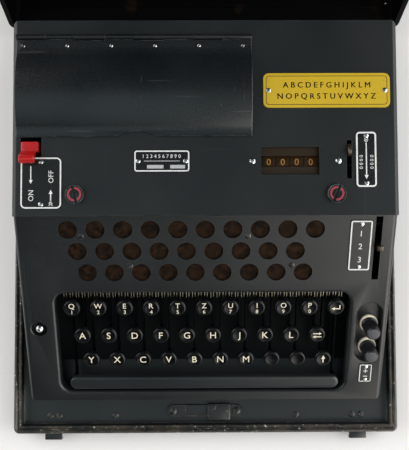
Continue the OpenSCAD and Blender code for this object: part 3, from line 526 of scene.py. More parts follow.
def patches(tree, where, size, detail, low, high, *ends):
    """Noise of this size and detail, 0 below low and 1 above high, or the two ends given."""
    return between(tree, noise(tree, where, size, detail), low, high, *ends)


def times(tree, a, b):
    return add(tree, "ShaderNodeMath", {"operation": "MULTIPLY", "use_clamp": True}, {0: a, 1: b}).outputs[0]


def blend(tree, factor, a, b):
    """Colour a where the factor is 0, b where it is 1."""
    def full(c):
        return c if isinstance(c, bpy.types.NodeSocket) else (*c, 1)
    return add(tree, "ShaderNodeMix", {"data_type": "RGBA"}, {0: factor, 6: full(a), 7: full(b)}).outputs[2]


def grain(tree, shader, where, size, depth, rough, stretch=(1, 1, 1)):
    """Fine unevenness of the surface: grain size and depth in millimetres, and the roughness's two ends."""
    uneven = noise(tree, where, size, stretch=stretch)
    tree.links.new(between(tree, uneven, 0.3, 0.7, *rough), shader.inputs["Roughness"])
    bump = add(tree, "ShaderNodeBump", inputs={"Height": uneven, "Distance": depth * MM, "Strength": 0.6})
    tree.links.new(bump.outputs["Normal"], shader.inputs["Normal"])


def edges(tree, width):
    """1 at the piece's edges and 0 on its faces, width in millimetres."""
    soft = add(tree, "ShaderNodeBevel", {"samples": 4}, {"Radius": width * MM})
    true = add(tree, "ShaderNodeNewGeometry")
    facing = add(tree, "ShaderNodeVectorMath", {"operation": "DOT_PRODUCT"},
                 {0: soft.outputs["Normal"], 1: true.outputs["Normal"]})
    return between(tree, facing.outputs["Value"], 0.99, 0.86)


def lighter(base, share):
    return [min(1, c + share) for c in base]


def enamel(name, base, wear, rough=(0.32, 0.44), worn=None, bare=0.0, scratched=0.25, rim=None):
    """Stove enamel sprayed on sheet steel: satin, faint orange peel, hairlines, edges rubbed pale or brown; the
    pale edges also serve as a painted highlight where edges catch the light.

    rim is the height in millimetres from which the enamel of a rim is rubbed through.
    """
    material, tree, shader, where = finish(name, base, rough[0])
    grain(tree, shader, where, 1.6, 0.012, rough)
    clouds = noise(tree, where, 70, 2.0)
    body = blend(tree, between(tree, clouds, 0.35, 0.7), base, lighter(base, 0.006))
    hairs = noise(tree, where, 5, 1.0, (0.06, 3, 3), 37)
    more_hairs = noise(tree, where, 4, 1.0, (3, 0.05, 3), -22)
    marks = add(tree, "ShaderNodeMath", {"operation": "MAXIMUM"},
                {0: between(tree, hairs, 0.74, 0.78), 1: between(tree, more_hairs, 0.75, 0.79)}).outputs[0]
    body = blend(tree, times(tree, marks, scratched), body, lighter(base, 0.05))
    # edges paled or browned in patches: rubbed enamel, and on the cover, bar, yellow plate and lock screws also a
    # painted highlight of lit edges
    edge_wear_and_highlight = times(tree, edges(tree, 0.9), patches(tree, where, 6, 4.0, 0.42, 0.6))
    body = blend(tree, times(tree, edge_wear_and_highlight, wear), body, worn or lighter(base, 0.09))
    if rim:
        height = add(tree, "ShaderNodeSeparateXYZ", inputs={"Vector": where}).outputs["Z"]
        crest = times(tree, between(tree, height, (rim - 1.2) * MM, rim * MM),
                      between(tree, height, (rim + 1.6) * MM, (rim + 1.2) * MM))
        browned = times(tree, crest, patches(tree, where, 14, 5.0, 0.4, 0.62))
        body = blend(tree, times(tree, browned, 0.22), body, worn)
        flakes = times(tree, crest, patches(tree, where, 2.6, 3.0, 0.66, 0.69))
        body = blend(tree, times(tree, flakes, 0.9), body, tones().bare)
    if bare:
        chips = times(tree, edges(tree, 1.3), patches(tree, where, 3.2, 2.0, 0.66, 0.69))
        body = blend(tree, times(tree, chips, bare), body, tones().bare)
    tree.links.new(body, shader.inputs["Base Color"])
    return material


def lining(name, base, stained):
    """Matt black paint, as inside the lid: dusty, with browned patches where things rubbed."""
    material, tree, shader, where = finish(name, base, 0.6)
    grain(tree, shader, where, 0.9, 0.03, (0.5, 0.72))
    shader.inputs["IOR"].default_value = 1.2
    rust = patches(tree, where, 38, 5.0, 0.6, 0.68)
    body = blend(tree, times(tree, rust, stained), base, linear("#3b2a1c"))
    tree.links.new(body, shader.inputs["Base Color"])
    return material


def metal(name, hex_text, rough, size=0.5, stretch=(1, 1, 1), dirty=0.35):
    """Plain worked metal: turned, brushed or plated, with grime in random patches."""
    material, tree, shader, where = finish(name, linear(hex_text), rough[0], 1.0)
    grain(tree, shader, where, size, 0.01, rough, stretch)
    grime = times(tree, patches(tree, where, 5, 3.0, 0.48, 0.7), dirty)
    tree.links.new(blend(tree, grime, linear(hex_text), linear("#1c1a17")), shader.inputs["Base Color"])
    return material


def moulded(name, base, rough=(0.16, 0.3), size=0.8, dust=0.15, mirror=1.5):
    """Moulded phenolic resin: hard and glossy, dull where fingers and dust have been."""
    material, tree, shader, where = finish(name, base, rough[0])
    grain(tree, shader, where, size, 0.006, rough)
    shader.inputs["IOR"].default_value = mirror
    dull = times(tree, patches(tree, where, 4, 4.0, 0.5, 0.75), dust)
    tree.links.new(blend(tree, dull, base, lighter(base, 0.05)), shader.inputs["Base Color"])
    return material


def paint(name, base, rough=(0.3, 0.42), fade=0.35, fade_to=None):
    """Thin filled or printed paint: even, a little worn."""
    material, tree, shader, where = finish(name, base, rough[0])
    grain(tree, shader, where, 0.6, 0.004, rough)
    worn = times(tree, patches(tree, where, 2.4, 4.0, 0.5, 0.72), fade)
    tree.links.new(blend(tree, worn, base, fade_to or [c * 0.6 for c in base]), shader.inputs["Base Color"])
    return material


def lamp_film():
    """Brown translucent film behind each lamp hole, blotched by what lies under it."""
    base = tones().lamp
    material, tree, shader, where = finish("lamp_film", base, 0.6)
    grain(tree, shader, where, 2.5, 0.03, (0.5, 0.75))
    shader.inputs["IOR"].default_value = 1.15
    blotches = patches(tree, where, 5, 4.0, 0.4, 0.65)
    body = blend(tree, blotches, [c * 0.6 for c in base], linear("#2c1d11"))
    stains = patches(tree, where, 12, 2.0, 0.52, 0.62)
    body = blend(tree, times(tree, stains, 0.5), body, linear("#21170c"))
    tree.links.new(body, shader.inputs["Base Color"])
    return material


def window_glass():
    """Smoke-brown acrylic over the counter: the figures show through it."""
    material, tree, shader, where = finish("window_glass", linear("#2b1b06"), 0.08)
    grain(tree, shader, where, 6, 0.004, (0.05, 0.16))
    shader.inputs["Alpha"].default_value = 0.25
    shader.inputs["IOR"].default_value = 1.12
    return material


def rubber():
    """Black moulded rubber feet, matt and scuffed."""
    material, tree, shader, where = finish("foot_rubber", linear("#141414"), 0.8)
    grain(tree, shader, where, 0.7, 0.05, (0.7, 0.9))
    scuffs = patches(tree, where, 4, 4.0, 0.55, 0.7, 0, 0.5)
    tree.links.new(blend(tree, scuffs, linear("#141414"), linear("#2a2927")), shader.inputs["Base Color"])
    return material


FINISHES = {}


def finish_of(name):
    """The machine's materials, each made once, when a piece first asks for it."""
    if name not in FINISHES:
        t = tones()
        FINISHES[name] = {
            # dark satin sheet with a faint cloudiness and pale rubbed edges
            "housing_enamel": lambda: enamel(name, t.housing, 0.35),
            # the same enamel, glossier and more scratched, where hands lift the cover; its edges strongly paled as
            # a painted highlight along its lit edges
            "cover_enamel": lambda: enamel(name, t.housing, 0.8, (0.24, 0.34), scratched=0.6),
            # the case's own enamel: rims rubbed brown, with bright chips
            "case_enamel": lambda: enamel(name, t.case, 0.85, worn=t.wear, bare=0.8, rim=17),
            # a deep black hollow with a few browned stains
            "lid_lining": lambda: lining(name, t.lining, 0.3),
            # grey-green satin bar, its edges paled as a painted highlight where they catch the light
            "bar_enamel": lambda: enamel(name, t.space, 0.6, (0.3, 0.42)),
            # the one glossy, strongly coloured control
            "red_enamel": lambda: enamel(name, t.red, 0.3, (0.16, 0.26)),
            # dull red ring painted round a screw's slot
            "ring_red": lambda: paint(name, linear("#9a2f3f")),
            # black caps, glossy but not mirror bright
            "key_resin": lambda: moulded(name, t.key, (0.14, 0.28), mirror=1.3),
            # the terminals' black fluted knobs
            "knob_resin": lambda: moulded(name, linear("#17181b"), (0.2, 0.36)),
            # the knobs' grey ends, dulled by fingers
            "knob_top": lambda: moulded(name, linear("#3c3e42"), (0.4, 0.55), 0.5),
            # glossy cream rings under the knobs, their paint raised to near white as painted light against the
            # shade of their cup
            "collar_cream_lightened": lambda: moulded(name, linear("#fff6dc"), (0.12, 0.25), 1.5, 0),
            # aged ivory letters in the keys
            "cream_fill": lambda: paint(name, t.cream, fade_to=linear("#b5a684")),
            # white lines and figures of the black plates
            "white_print": lambda: paint(name, t.white, fade_to=linear("#9c9f9f")),
            # near-black letters of the yellow plate
            "dark_print": lambda: paint(name, linear("#1d1b0b"), fade=0.2),
            # blacker and glossier than the housing round it
            "plate_black": lambda: enamel(name, linear("#06080a"), 0.3, (0.24, 0.36)),
            # the plate that draws the eye, its edges paled to a lighter yellow as a painted highlight of their
            # bevel
            "plate_yellow": lambda: enamel(name, t.yellow, 0.3, (0.26, 0.4), worn=linear("#c9b65a")),
            # bare grey fields on the long plate
            "pale_field": lambda: paint(name, linear("#a9adad"), (0.3, 0.45), 0.5),
            # screw heads and the ball: small hard glints
            "bright_steel": lambda: metal(name, "#d4d6d6", (0.16, 0.3), 0.4),
            # the cover's rivets, dulled in patches by grime
            "rivet_steel": lambda: metal(name, "#9a9c9b", (0.16, 0.32), 0.6, dirty=0.8),
            # blue-grey plated frame and hinge pins
            "zinc_plate": lambda: metal(name, "#565d61", (0.32, 0.5), 1.2),
            # brushed browned tab in the selector's slot
            "lever_steel": lambda: metal(name, "#4b4740", (0.3, 0.5), 0.8, (1, 0.1, 1)),
            # levers painted near black: blackened steel, and painted shade for the dark well under the keys
            "key_steel_and_shade": lambda: metal(name, "#0d1011", (0.35, 0.55), 0.8, (1, 0.1, 1)),
            # blackened screw heads, their rim paled grey in patches as a painted highlight
            "lock_steel": lambda: enamel(name, linear("#0b0c0d"), 0.45, (0.22, 0.36),
                                         worn=linear("#8b8d8e")),
            # dark screws and comb that hardly stand out
            "black_oxide": lambda: metal(name, "#2c2d2e", (0.34, 0.52), 0.6),
            # flat black paint on the plate under the key levers: painted shade that closes the view into the dark
            # well
            "tray_painted_shade": lambda: lining(name, linear("#0e1113"), 0.0),
            # browned bare steel of the reset lever
            "brown_steel": lambda: metal(name, "#70655a", (0.3, 0.5), 0.5),
            # yellow metal of the terminals' studs and nuts
            "brass": lambda: metal(name, "#b08a45", (0.2, 0.4), 0.5),
            # tarnished contact springs: a fine bright row over the keys
            "spring_silver": lambda: metal(name, "#6b675c", (0.25, 0.45), 0.6),
            # the transformer's winding
            "copper_wire": lambda: metal(name, "#9c5526", (0.25, 0.45), 0.5),
            # brown mask on the back of the counter's pane
            "pane_print": lambda: paint(name, linear("#1f1404"), (0.55, 0.7), 0.3),
            # brown drums, matt so that the figures stand out
            "drum_resin": lambda: moulded(name, linear("#241a0c"), (0.4, 0.6)),
            # warm figures seen through the pane
            "amber_figures": lambda: paint(name, t.amber, fade=0.15),
            # dark red-brown moulded rotors
            "rotor_resin": lambda: moulded(name, linear("#2a1c15"), (0.22, 0.4)),
            # pale cast wheels between the rotors
            "wheel_alloy": lambda: metal(name, "#8f8b80", (0.3, 0.5), 0.6),
            # brown laminate of the lamp board
            "board_phenolic": lambda: moulded(name, linear("#4b2f1b"), (0.35, 0.5)),
            # smoke-brown pane that lets the figures through
            "window_glass": window_glass,
            # dark mottled brown discs behind the lamp holes
            "lamp_film": lamp_film,
            # dull black feet
            "foot_rubber": rubber,
        }[name]()
    return FINISHES[name]


def finishes(*names):
    return [finish_of(name) for name in names]


# ---------- shapes that several pieces share ----------

def across(x, y=0.0, z=0.0):
    """Turns what is drawn upright so that it lies along x, starting at a point."""
    return Matrix.Translation((x, y, z)) @ Matrix.Rotation(math.pi / 2, 4, "Y")


def at(place, x=0.0, y=0.0, z=0.0):
    return place @ Matrix.Translation((x, y, z))


def on_panel(x, s, n=0.0):
    """The place of a point on the sloped panel."""
    return at(PANEL, x, -s, n)


def case_loop(inset, z):
    """The case's outline at a height, drawn in by inset."""
    half_w, half_d = sizes().case_width / MM / 2, sizes().case_depth / MM / 2
    return rounded(inset - half_w, half_w - inset, inset - half_d, half_d - inset, max(CASE_R - inset, 1), z)


def slotted(bm, profile, floor, slot, finish=0, turn=0.0, place=Matrix(), ring_of=None):
    """A round head from (radius, height) points, with a slot across it that is cut down to floor.

    ring_of is the inner and outer radius and the height of a painted ring, in the finish after finish.
    """
    spin = place @ Matrix.Rotation(math.radians(turn), 4, "Z")
    wide = max(r for r, z in profile)
    lathe(bm, [p for p in profile if p[1] < floor] + [(wide, floor)], finish, place=spin)
    for side in (1, -1):
        half = bmesh.new()
        lathe(half, [(wide, floor)] + [p for p in profile if p[1] > floor], finish)
        if ring_of:
            inner, outer, top = ring_of
            loft(half, [ring(inner, top - 0.5), ring(outer, top - 0.5), ring(outer, top), ring(inner, top)],
                 finish + 1, closed=True)
        bmesh.ops.bisect_plane(half, geom=half.verts[:] + half.edges[:] + half.faces[:], clear_inner=True,
                               plane_co=(side * slot / 2, 0, 0), plane_no=(side, 0, 0))
        bmesh.ops.holes_fill(half, edges=[e for e in half.edges if e.is_boundary])
        add_mesh(bm, to_mesh(half, "half"), spin)


def wrapped(bm, text, height, radius, turn, finish=0, x=0.0):
    """Figures bent round the x axis; turn is their place from the top towards the back, in degrees."""
    def bend(point):
        angle = point.y / radius + math.radians(turn)
        reach = radius + point.z
        return Vector((point.x, reach * math.sin(angle), reach * math.cos(angle)))
    letters(bm, text, height, (x, 0, 0), finish, rise=0.16, bend=bend)


def border(bm, x0, x1, y0, y1, radius, width, z, finish):
    """A printed line round a plate."""
    def loop(inset, height):
        return rounded(x0 + inset, x1 - inset, y0 + inset, y1 - inset, radius - inset, height)
    loft(bm, [loop(0, z - 0.1), loop(0, z), loop(width, z), loop(width, z - 0.1)], finish, closed=True)


def blank(bm, x0, x1, y0, y1, radius):
    """A plain sheet plate with its upper edge rounded off."""
    def loop(inset, z):
        return rounded(x0 + inset, x1 - inset, y0 + inset, y1 - inset, radius - inset, z)
    loft(bm, [loop(0, 0), loop(0, PLATE_T - 0.25), loop(0.25, PLATE_T)])


def sheet(area, radius, inset, corner, width):
    """A plate with a border printed round it, to print more on."""
    bm = bmesh.new()
    x0, x1, y0, y1 = area
    blank(bm, *area, radius)
    border(bm, x0 + inset, x1 - inset, y0 + inset, y1 - inset, corner, width, PRINT, 1)
    return bm


def strip(bm, x0, x1, y0, y1, z, finish):
    """A printed bar or field."""
    block(bm, (x0, y0, z - 0.1), (x1, y1, z), finish, 0)


def arrow(bm, tail, tip, z, finish, width=0.9, head=3.2, feathers=0.0):
    """A printed arrow between two points; feathers is the spread of its tail."""
    a, b = Vector(tail), Vector(tip)
    along = (b - a).normalized()
    side = Vector((-along.y, along.x))
    neck = b - along * head

    def shape(points):
        low = [Vector((*p, z - 0.1)) for p in points]
        loft(bm, [low, [p + Vector((0, 0, 0.1)) for p in low]], finish)
    shape([a - side * width / 2, neck - side * width / 2, neck + side * width / 2, a + side * width / 2])
    shape([neck - side * head / 2, b, neck + side * head / 2])
    for sign in (1, -1) if feathers else ():
        for back in (0, 1.6):
            root = a + along * (1.2 + back)
            end = a + along * (back - 0.8) + side * sign * feathers
            shape([root - along * 0.45, end - along * 0.45, end + along * 0.45, root + along * 0.45][::sign])


# ---------- case ----------

# (inset, height) of the case base's skin, from its underside over the rim's two beads to its floor
BASE_SKIN = ((1.5, UNDER_Z), (0.3, 8.3), (0, 9), (0, 16.7), (0.6, 17.7), (1.8, 18), (3, 17.4), (3.7, 16.4),
             (4.4, 17.2), (5.5, 17.9), (6.6, 17.5), (7, 16.6), (7, 13.5), (7.6, 10.4), (9.5, FLOOR_Z),
             (12, FLOOR_Z))
TAB_X, TAB_W = 138, 15.5
HINGE_X, HINGE_SEG, KNUCKLE_R = 112, 13, 3.3
LATCH_Y, LATCH_X = -162.6, (-29.6, 28.1)
FOOT_X, FOOT_Y, FOOT_R = 144.5, 153, 9


def lid_skin():
    """(inset, height) of the closed lid, and how many of them are inside.

    They run along the inside from the middle to the edge, then over the bead and the outside.
    """
    top = LID_Z + sizes().lid_height / MM
    inner = ((12, top - 1.3), (9, top - 1.3), (4.5, top - 2.5), (2, top - 5.8), (1.3, top - 9.3),
             (1.3, LID_Z + 1.7), (1, LID_Z + 0.2))
    bead = ((-3, LID_Z), (-3.5, LID_Z + 0.6), (-3.5, LID_Z + 5.3), (-2.9, LID_Z + 6), (-0.6, LID_Z + 6.3),
            (0, LID_Z + 7.1))
    outer = ((0, top - 8), (0.6, top - 4), (3, top - 1), (7, top), (22, top), (24, top - 0.6),
             (27, top - 0.6))
    return inner + bead + outer, len(inner)


def hinge_half(bm, offsets, leaf, upright=None):
    """Knuckles of both hinges at the given places along them, with the leaves that carry them."""
    for side in (-1, 1):
        for k in offsets:
            x0 = side * HINGE_X + (k - 0.5) * HINGE_SEG + 0.15
            x1 = x0 + HINGE_SEG - 0.3
            lathe(bm, [(KNUCKLE_R - 0.3, 0), (KNUCKLE_R, 0.3), (KNUCKLE_R, x1 - x0 - 0.3),
                       (KNUCKLE_R - 0.3, x1 - x0)], 0, 24, across(x0, LID_HINGE.y, LID_HINGE.z))
            block(bm, (x0, *leaf[0]), (x1, *leaf[1]))
            if upright:
                block(bm, (x0, *upright[0]), (x1, *upright[1]))


class CIPHER_OT_case(bpy.types.Operator):
    """Adds the transport case: its base with the feet, latch and catch tabs, and its open lid"""
    bl_idname = "cipher.case"
    bl_label = "Case"

    def execute(self, context):
        self.base()
        self.latch()
        self.feet()
        self.lid()
        return {"FINISHED"}

    def base(self):
        bm = bmesh.new()
        loft(bm, [case_loop(inset, z) for inset, z in BASE_SKIN])
        front = -sizes().case_depth / MM / 2
        for side in (-1, 1):
            x0 = side * TAB_X - TAB_W / 2
            block(bm, (x0, front - 7, 8.5), (x0 + TAB_W, front + 1, 10.5), radius=0.6)
            block(bm, (x0, front - 7, 4.5), (x0 + TAB_W, front - 5.4, 10), radius=0.6)
        back = -front
        hinge_half(bm, (-1.5, 0.5), ((back - 1, 8.5), (LID_HINGE.y + 2, 10.5)),
                   ((LID_HINGE.y, 8.5), (LID_HINGE.y + 2, LID_HINGE.z)))
        piece("case_pan", bm, finishes("case_enamel"), TABLE, "root", ("case_base",))

        pins = bmesh.new()
        for side in (-1, 1):
            lathe(pins, [(1.2, 0), (1.5, 0.3), (1.5, 51.7), (1.2, 52)], 0, 20,
                  across(side * HINGE_X - 26, LID_HINGE.y, LID_HINGE.z))
        piece("hinge_pins", pins, finishes("zinc_plate"), TABLE, "root", ("case_base",))

    def latch(self):
        """Plate with the sunk catch in the middle of the base's front"""
        bm = bmesh.new()
        y0, y1 = LATCH_Y - 5.5, LATCH_Y + 5.5
        x0, x1 = LATCH_X[0] - 5.5, LATCH_X[1] + 5.5
        sunk = (-18.5, 1.5, LATCH_Y - 4, LATCH_Y + 5, 0.6)
        loft(bm, [rounded(x0, x1, y0, y1, 5.4, 9.2), rounded(x0, x1, y0, y1, 5.4, 11.1),
                  rounded(x0 + 0.4, x1 - 0.4, y0 + 0.4, y1 - 0.4, 5, 11.5), rounded(*sunk, 11.5),
                  rounded(*sunk, 10.3)])
        block(bm, (2, LATCH_Y - 7.5, 9.3), (22, LATCH_Y + 6.5, 14), radius=0.5)
        block(bm, (19.5, LATCH_Y - 7, 13.5), (21, LATCH_Y + 6, 14.5), radius=0.3)
        block(bm, (3.5, LATCH_Y + 1.5, 13.6), (9, LATCH_Y + 5, 14.4), radius=0.4)
        for x, turn in zip(LATCH_X, (20, -40)):
            slotted(bm, [(3, 0), (3.2, 0.3), (3.2, 1.3), (2.2, 2), (0.02, 2.2)], 1.1, 0.9, 0, turn,
                    Matrix.Translation((x, LATCH_Y, 11.4)))
        piece("front_latch", bm, finishes("case_enamel"), TABLE, "root", ("case_base",))

    def feet(self):
        bm = bmesh.new()
        low = UNDER_Z - sizes().foot_height / MM
        for x in (-FOOT_X, FOOT_X):
            for y in (-FOOT_Y, FOOT_Y):
                lathe(bm, [(FOOT_R - 1.2, low), (FOOT_R - 0.3, low + 0.5), (FOOT_R, low + 1.4),
                           (FOOT_R - 0.6, UNDER_Z - 0.4), (FOOT_R - 0.9, UNDER_Z)], 0, 40,
                      Matrix.Translation((x, y, 0)))
        piece("rubber_feet", bm, finishes("foot_rubber"), TABLE, "root", ("case_feet",))

    def lid(self):
        bm = bmesh.new()
        skin, inner = lid_skin()
        loops = [case_loop(inset, z) for inset, z in skin]
        faces = loft(bm, loops)
        for face in faces[:inner * len(loops[0])] + [faces[-2]]:
            face.material_index = 1
        back = sizes().case_depth / MM / 2
        hinge_half(bm, (-0.5, 1.5), ((back - 0.9, LID_HINGE.z - 1), (LID_HINGE.y - 1, LID_HINGE.z + 1)))
        piece("lid_shell", bm, finishes("case_enamel", "lid_lining"), LID, "case_lid",
              ("case_lid",))

        # pressed ridges on the inside of the wall at the hinges, and one wider step below them
        wide = sizes().case_width / MM / 2 - 7
        ridge = bmesh.new()
        block(ridge, (-wide, back - 2.1, -0.35), (wide, back - 1.2, 0.35), 0, 0.2)
        low, pitch = 40.5, 1.9
        count = int((LID_Z + sizes().lid_height / MM - 14 - low) / pitch)
        ridges = grown(row_tree(), ridge, "Shape", [(0, 0, 0)], Count=count, Start=(0.0, 0.0, low),
                       Step=(0.0, 0.0, pitch), Material=finish_of("lid_lining"))
        bm = bmesh.new()
        add_mesh(bm, ridges, Matrix())
        block(bm, (-wide, back - 2.4, 37.7), (wide, back - 1.1, 38.5), 0, 0.3)
        piece("lid_ridges", bm, finishes("lid_lining"), LID, "case_lid", ("case_lid",))

        bm = bmesh.new()
        block(bm, (wide - 1, back - 3.6, 40), (wide + 3.5, back - 1.2, 42), 0, 0.4)
        lathe(bm, [(1, 0), (1.1, 0.3), (0.7, 0.8)], 0, 16,
              Matrix.Translation((wide + 1, back - 3.4, 41)) @ Matrix.Rotation(math.pi / 2, 4, "X"))
        piece("lid_clip", bm, finishes("bright_steel"), LID, "case_lid", ("case_lid",))


# ---------- housing and inner frame ----------

class CIPHER_OT_housing(bpy.types.Operator):
    """Adds the enamelled sheet housing: sloped front cover, flat rear cover and hinged rotor cover"""
    bl_idname = "cipher.housing"
    bl_label = "Housing"

    def execute(self, context):
        width = sizes().edge_radius / MM
        well = inside(PANEL, (WELL_X[0] - 1, -WELL_S[1] - 1, -0.2), (WELL_X[1] + 1, 1 - WELL_S[0], 0.2))
        cup = inside(PANEL, (CUP_X - CUP_R - 1, -CUP_S[1] - 1, -0.2), (CUP_X + CUP_R + 1, 1 - CUP_S[0], 0.2))
        # the panel's side edges, rolled less at the left than at the right
        bends = [inside(PANEL, (low, -175, -0.2), (high, -2, 0.2))
                 for low, high in ((-180, -144), (144, 180))]
        softened("front_housing", "front_cover", ["housing_enamel"], width,
                 ((well, 2.6), (cup, 0.7), (bends[0], 1.2), (bends[1], 2.4)))
        softened("rear_housing", "top_cover", ["housing_enamel"], width)
        ends = [inside(DECK, (x - 0.3, COVER_BACK - COVER_D, 1), (x + 0.3, COVER_BACK + 1, 60))
                for x in (COVER_X - COVER_W / 2, COVER_X + COVER_W / 2)]
        softened("rotor_lid", "rotor_cover", ["cover_enamel"], width,
                 [(end, 0.9) for end in ends])
        self.cover_rivets()
        return {"FINISHED"}

    def cover_rivets(self):
        head = bmesh.new()
        lathe(head, [(1.5, 0), (1.55, 0.35), (1.3, 0.7), (0.8, 0.95), (0.5, 0.7), (0.02, 0.65)], 0, 24)
        left = COVER_X - COVER_W / 2
        points = [(left + 5.7 + i * (COVER_W - 13) / 5, COVER_BACK - 5.5, 1.85) for i in range(6)]
        heads = grown(heads_tree(), head, "Head", points, Size=1.0, Turn=math.tau, Seed=3,
                      Material=finish_of("rivet_steel"))
        grown_piece("cover_rivets", heads, "rivet_steel", DECK, "rotor_cover", "rotor_cover")


class CIPHER_OT_inner_frame(bpy.types.Operator):
    """Adds what lies inside: frame, rotor shaft, lamp board, transformer and the comb of the key levers"""
    bl_idname = "cipher.inner_frame"
    bl_label = "Inner frame"

    def execute(self, context):
        comb = inside(PANEL, (WELL_X[0], -COMB_S - 2.6, -31), (WELL_X[1], -COMB_S + 0.6, -5))
        # the plate under the key levers gets black paint as painted shade for the dark well
        tray = inside(PANEL, (-150, -TRAY_S - 1, -32), (150, 0.5 - COMB_S, -29.9))
        softened("inner_frame", "chassis", ["zinc_plate", "black_oxide", "tray_painted_shade"], 0.25,
                 painted=(comb, tray))
        softened("rotor_axle", "rotor_shaft", ["bright_steel"], 0.3)
        coil = inside(TABLE, (71, 90, 10), (95, 160, 48))
        core = inside(TABLE, (50, 100, 9), (116, 150, 58))
        softened("electric_parts", "electrics", ["board_phenolic", "copper_wire", "zinc_plate"], 0.2,
                 painted=(coil, core))
        self.springs()
        return {"FINISHED"}

    def springs(self):
        """The row of contact springs along the top of the comb, which shows above the first keys"""
        shape = bmesh.new()
        block(shape, (-1.6, -4.6, 0.2), (-0.7, 0.6, 0.8), 0, 0.15)
        block(shape, (0.6, -4.0, 0.2), (1.4, 0.6, 0.9), 0, 0.15)
        count = sizes().bars
        x0, x1 = WELL_X[0] + 8, WELL_X[1] - 8
        springs = grown(row_tree(), shape, "Shape", [(0, 0, 0)], Count=count,
                        Start=(float(x0), -COMB_S - 0.8, COMB_TOP + 0.1),
                        Step=((x1 - x0) / (count - 1), 0.0, 0.0),
                        Material=finish_of("spring_silver"))
        grown_piece("contact_springs", springs, "spring_silver", PANEL, "root", "chassis")


class CIPHER_OT_lamps(bpy.types.Operator):
    """Adds the brown lamp windows behind the sloped panel"""
    bl_idname = "cipher.lamps"
    bl_label = "Lamp windows"

    def execute(self, context):
        bm = bmesh.new()
        radius = sizes().lamp_diameter / MM / 2 + 1.5
        dished = [(radius - 0.2, 0), (radius, 0.2), (radius, 1.4), (radius - 1.4, 1.5), (0.02, 1.1)]
        for count, x0, s in LAMP_ROWS:
            for i in range(count):
                lathe(bm, dished, 0, 32, Matrix.Translation((x0 + i * KEY_PITCH, -s, LAMP_N)))
        piece("lamp_windows", bm, finishes("lamp_film"), PANEL, "root",
              ("indicator_windows",))
        return {"FINISHED"}


# ---------- keyboard ----------

DIGITS = "1234567890"


def cap_profile(radius, tall):
    """(radius, height) of a key cap: straight skirt, wide bevel and dished top."""
    return [(radius - 0.4, 0), (radius, 0.4), (radius, tall - 2), (radius - 0.3, tall - 1),
            (radius - 1, tall - 0.35), (radius - 1.7, tall), (radius - 2.3, tall - 0.04),
            (radius - 2.9, tall - 0.22), (0.02, tall - 0.32)]


def stem(bm, x, s, top):
    """The round stem between a lever and its cap or bar."""
    lathe(bm, [(STEM_R, LEVER_N + 2), (STEM_R, top)], 1, 20, Matrix.Translation((x, -s, 0)))


def lever(bm, x, s):
    """The lever from the shaft to under a cap or the bar."""
    outline = arc(4, -61, 61, 8, (-PIVOT_S, LEVER_N))
    outline += [(-s - 3, LEVER_N + LEVER_H / 2), (-s - 3, LEVER_N - LEVER_H / 2)]
    slab(bm, outline, x - LEVER_T / 2, x + LEVER_T / 2, 1, 0.25)


class CIPHER_OT_keys(bpy.types.Operator):
    """Adds the 31 keys: cap, letter, stem and lever, each riding on its own joint"""
    bl_idname = "cipher.keys"
    bl_label = "Keys"

    def execute(self, context):
        for (count, middle, s), names in zip(KEY_ROWS, KEY_NAMES):
            for i, name in enumerate(names):
                self.key(name, middle + (i - (count - 1) / 2) * KEY_PITCH, s, i if s < 90 else None)
        return {"FINISHED"}

    def key(self, name, x, s, number):
        bm = bmesh.new()
        radius, tall = sizes().key_diameter / MM / 2, sizes().key_height / MM
        bottom = KEY_TOP - tall
        lever(bm, x, s)
        stem(bm, x, s, bottom + 0.5)
        lathe(bm, cap_profile(radius, tall), 0, 48, Matrix.Translation((x, -s, bottom)))
        face = KEY_TOP - 0.18
        if len(name) == 1:
            height, up = (6.2, 0.6) if number is None else (4.8, 2.7)
            letters(bm, name.upper(), height, (x, up - s, face), 2, rise=0.4)
            if number is not None:
                letters(bm, DIGITS[number], 3.5, (x, -s - 3, face), 2, rise=0.4)
        else:
            self.symbol(bm, name, x, -s, face + 0.2)
        piece("keycap_" + name, bm, finishes("key_resin", "key_steel_and_shade", "cream_fill"), PANEL,
              "key_" + name, ("key_" + name,))

    def symbol(self, bm, name, x, y, z):
        """Arrows on the three keys that print nothing"""
        if name == "return":
            arrow(bm, (x + 3.4, y - 0.8), (x - 4, y - 0.8), z, 2, 0.9, 2.8)
            strip(bm, x + 2.5, x + 3.4, y - 0.8, y + 2.6, z, 2)
        if name == "figures":
            for turn in (1, -1):
                arrow(bm, (x - 3.6 * turn, y + 1.5 * turn), (x + 3.8 * turn, y + 1.5 * turn), z, 2, 0.8, 2.4)
        if name == "shift":
            arrow(bm, (x, y - 3.2), (x, y + 3.8), z, 2, 1, 3.4)


class CIPHER_OT_space_bar(bpy.types.Operator):
    """Adds the space bar with its two levers"""
    bl_idname = "cipher.space_bar"
    bl_label = "Space bar"

    def execute(self, context):
        bm = bmesh.new()
        half_l, half_w = sizes().space_length / MM / 2, sizes().space_width / MM / 2

        def loop(inset, n):
            return rounded(SPACE_X - half_l + inset, SPACE_X + half_l - inset, inset - half_w - SPACE_S,
                           half_w - inset - SPACE_S, half_w - 0.1 - inset, n, 10)
        top = SPACE_TOP
        loft(bm, [loop(3, top - 1.4), loop(1.4, top - 2), loop(1.4, top - 4.8), loop(1, top - 5),
                  loop(0.3, top - 5), loop(0, top - 4.7), loop(0, top - 1.2), loop(0.35, top - 0.45),
                  loop(1.1, top), loop(3, top)])
        for side in (-1, 1):
            x = SPACE_X + side * (half_l - 3.4)
            lever(bm, x, SPACE_S)
            stem(bm, x, SPACE_S, top - 1)
        piece("spacer_bar", bm, finishes("bar_enamel", "key_steel_and_shade"), PANEL, "space_bar",
              ("space_bar",))
        return {"FINISHED"}


# ---------- counter and rotors ----------

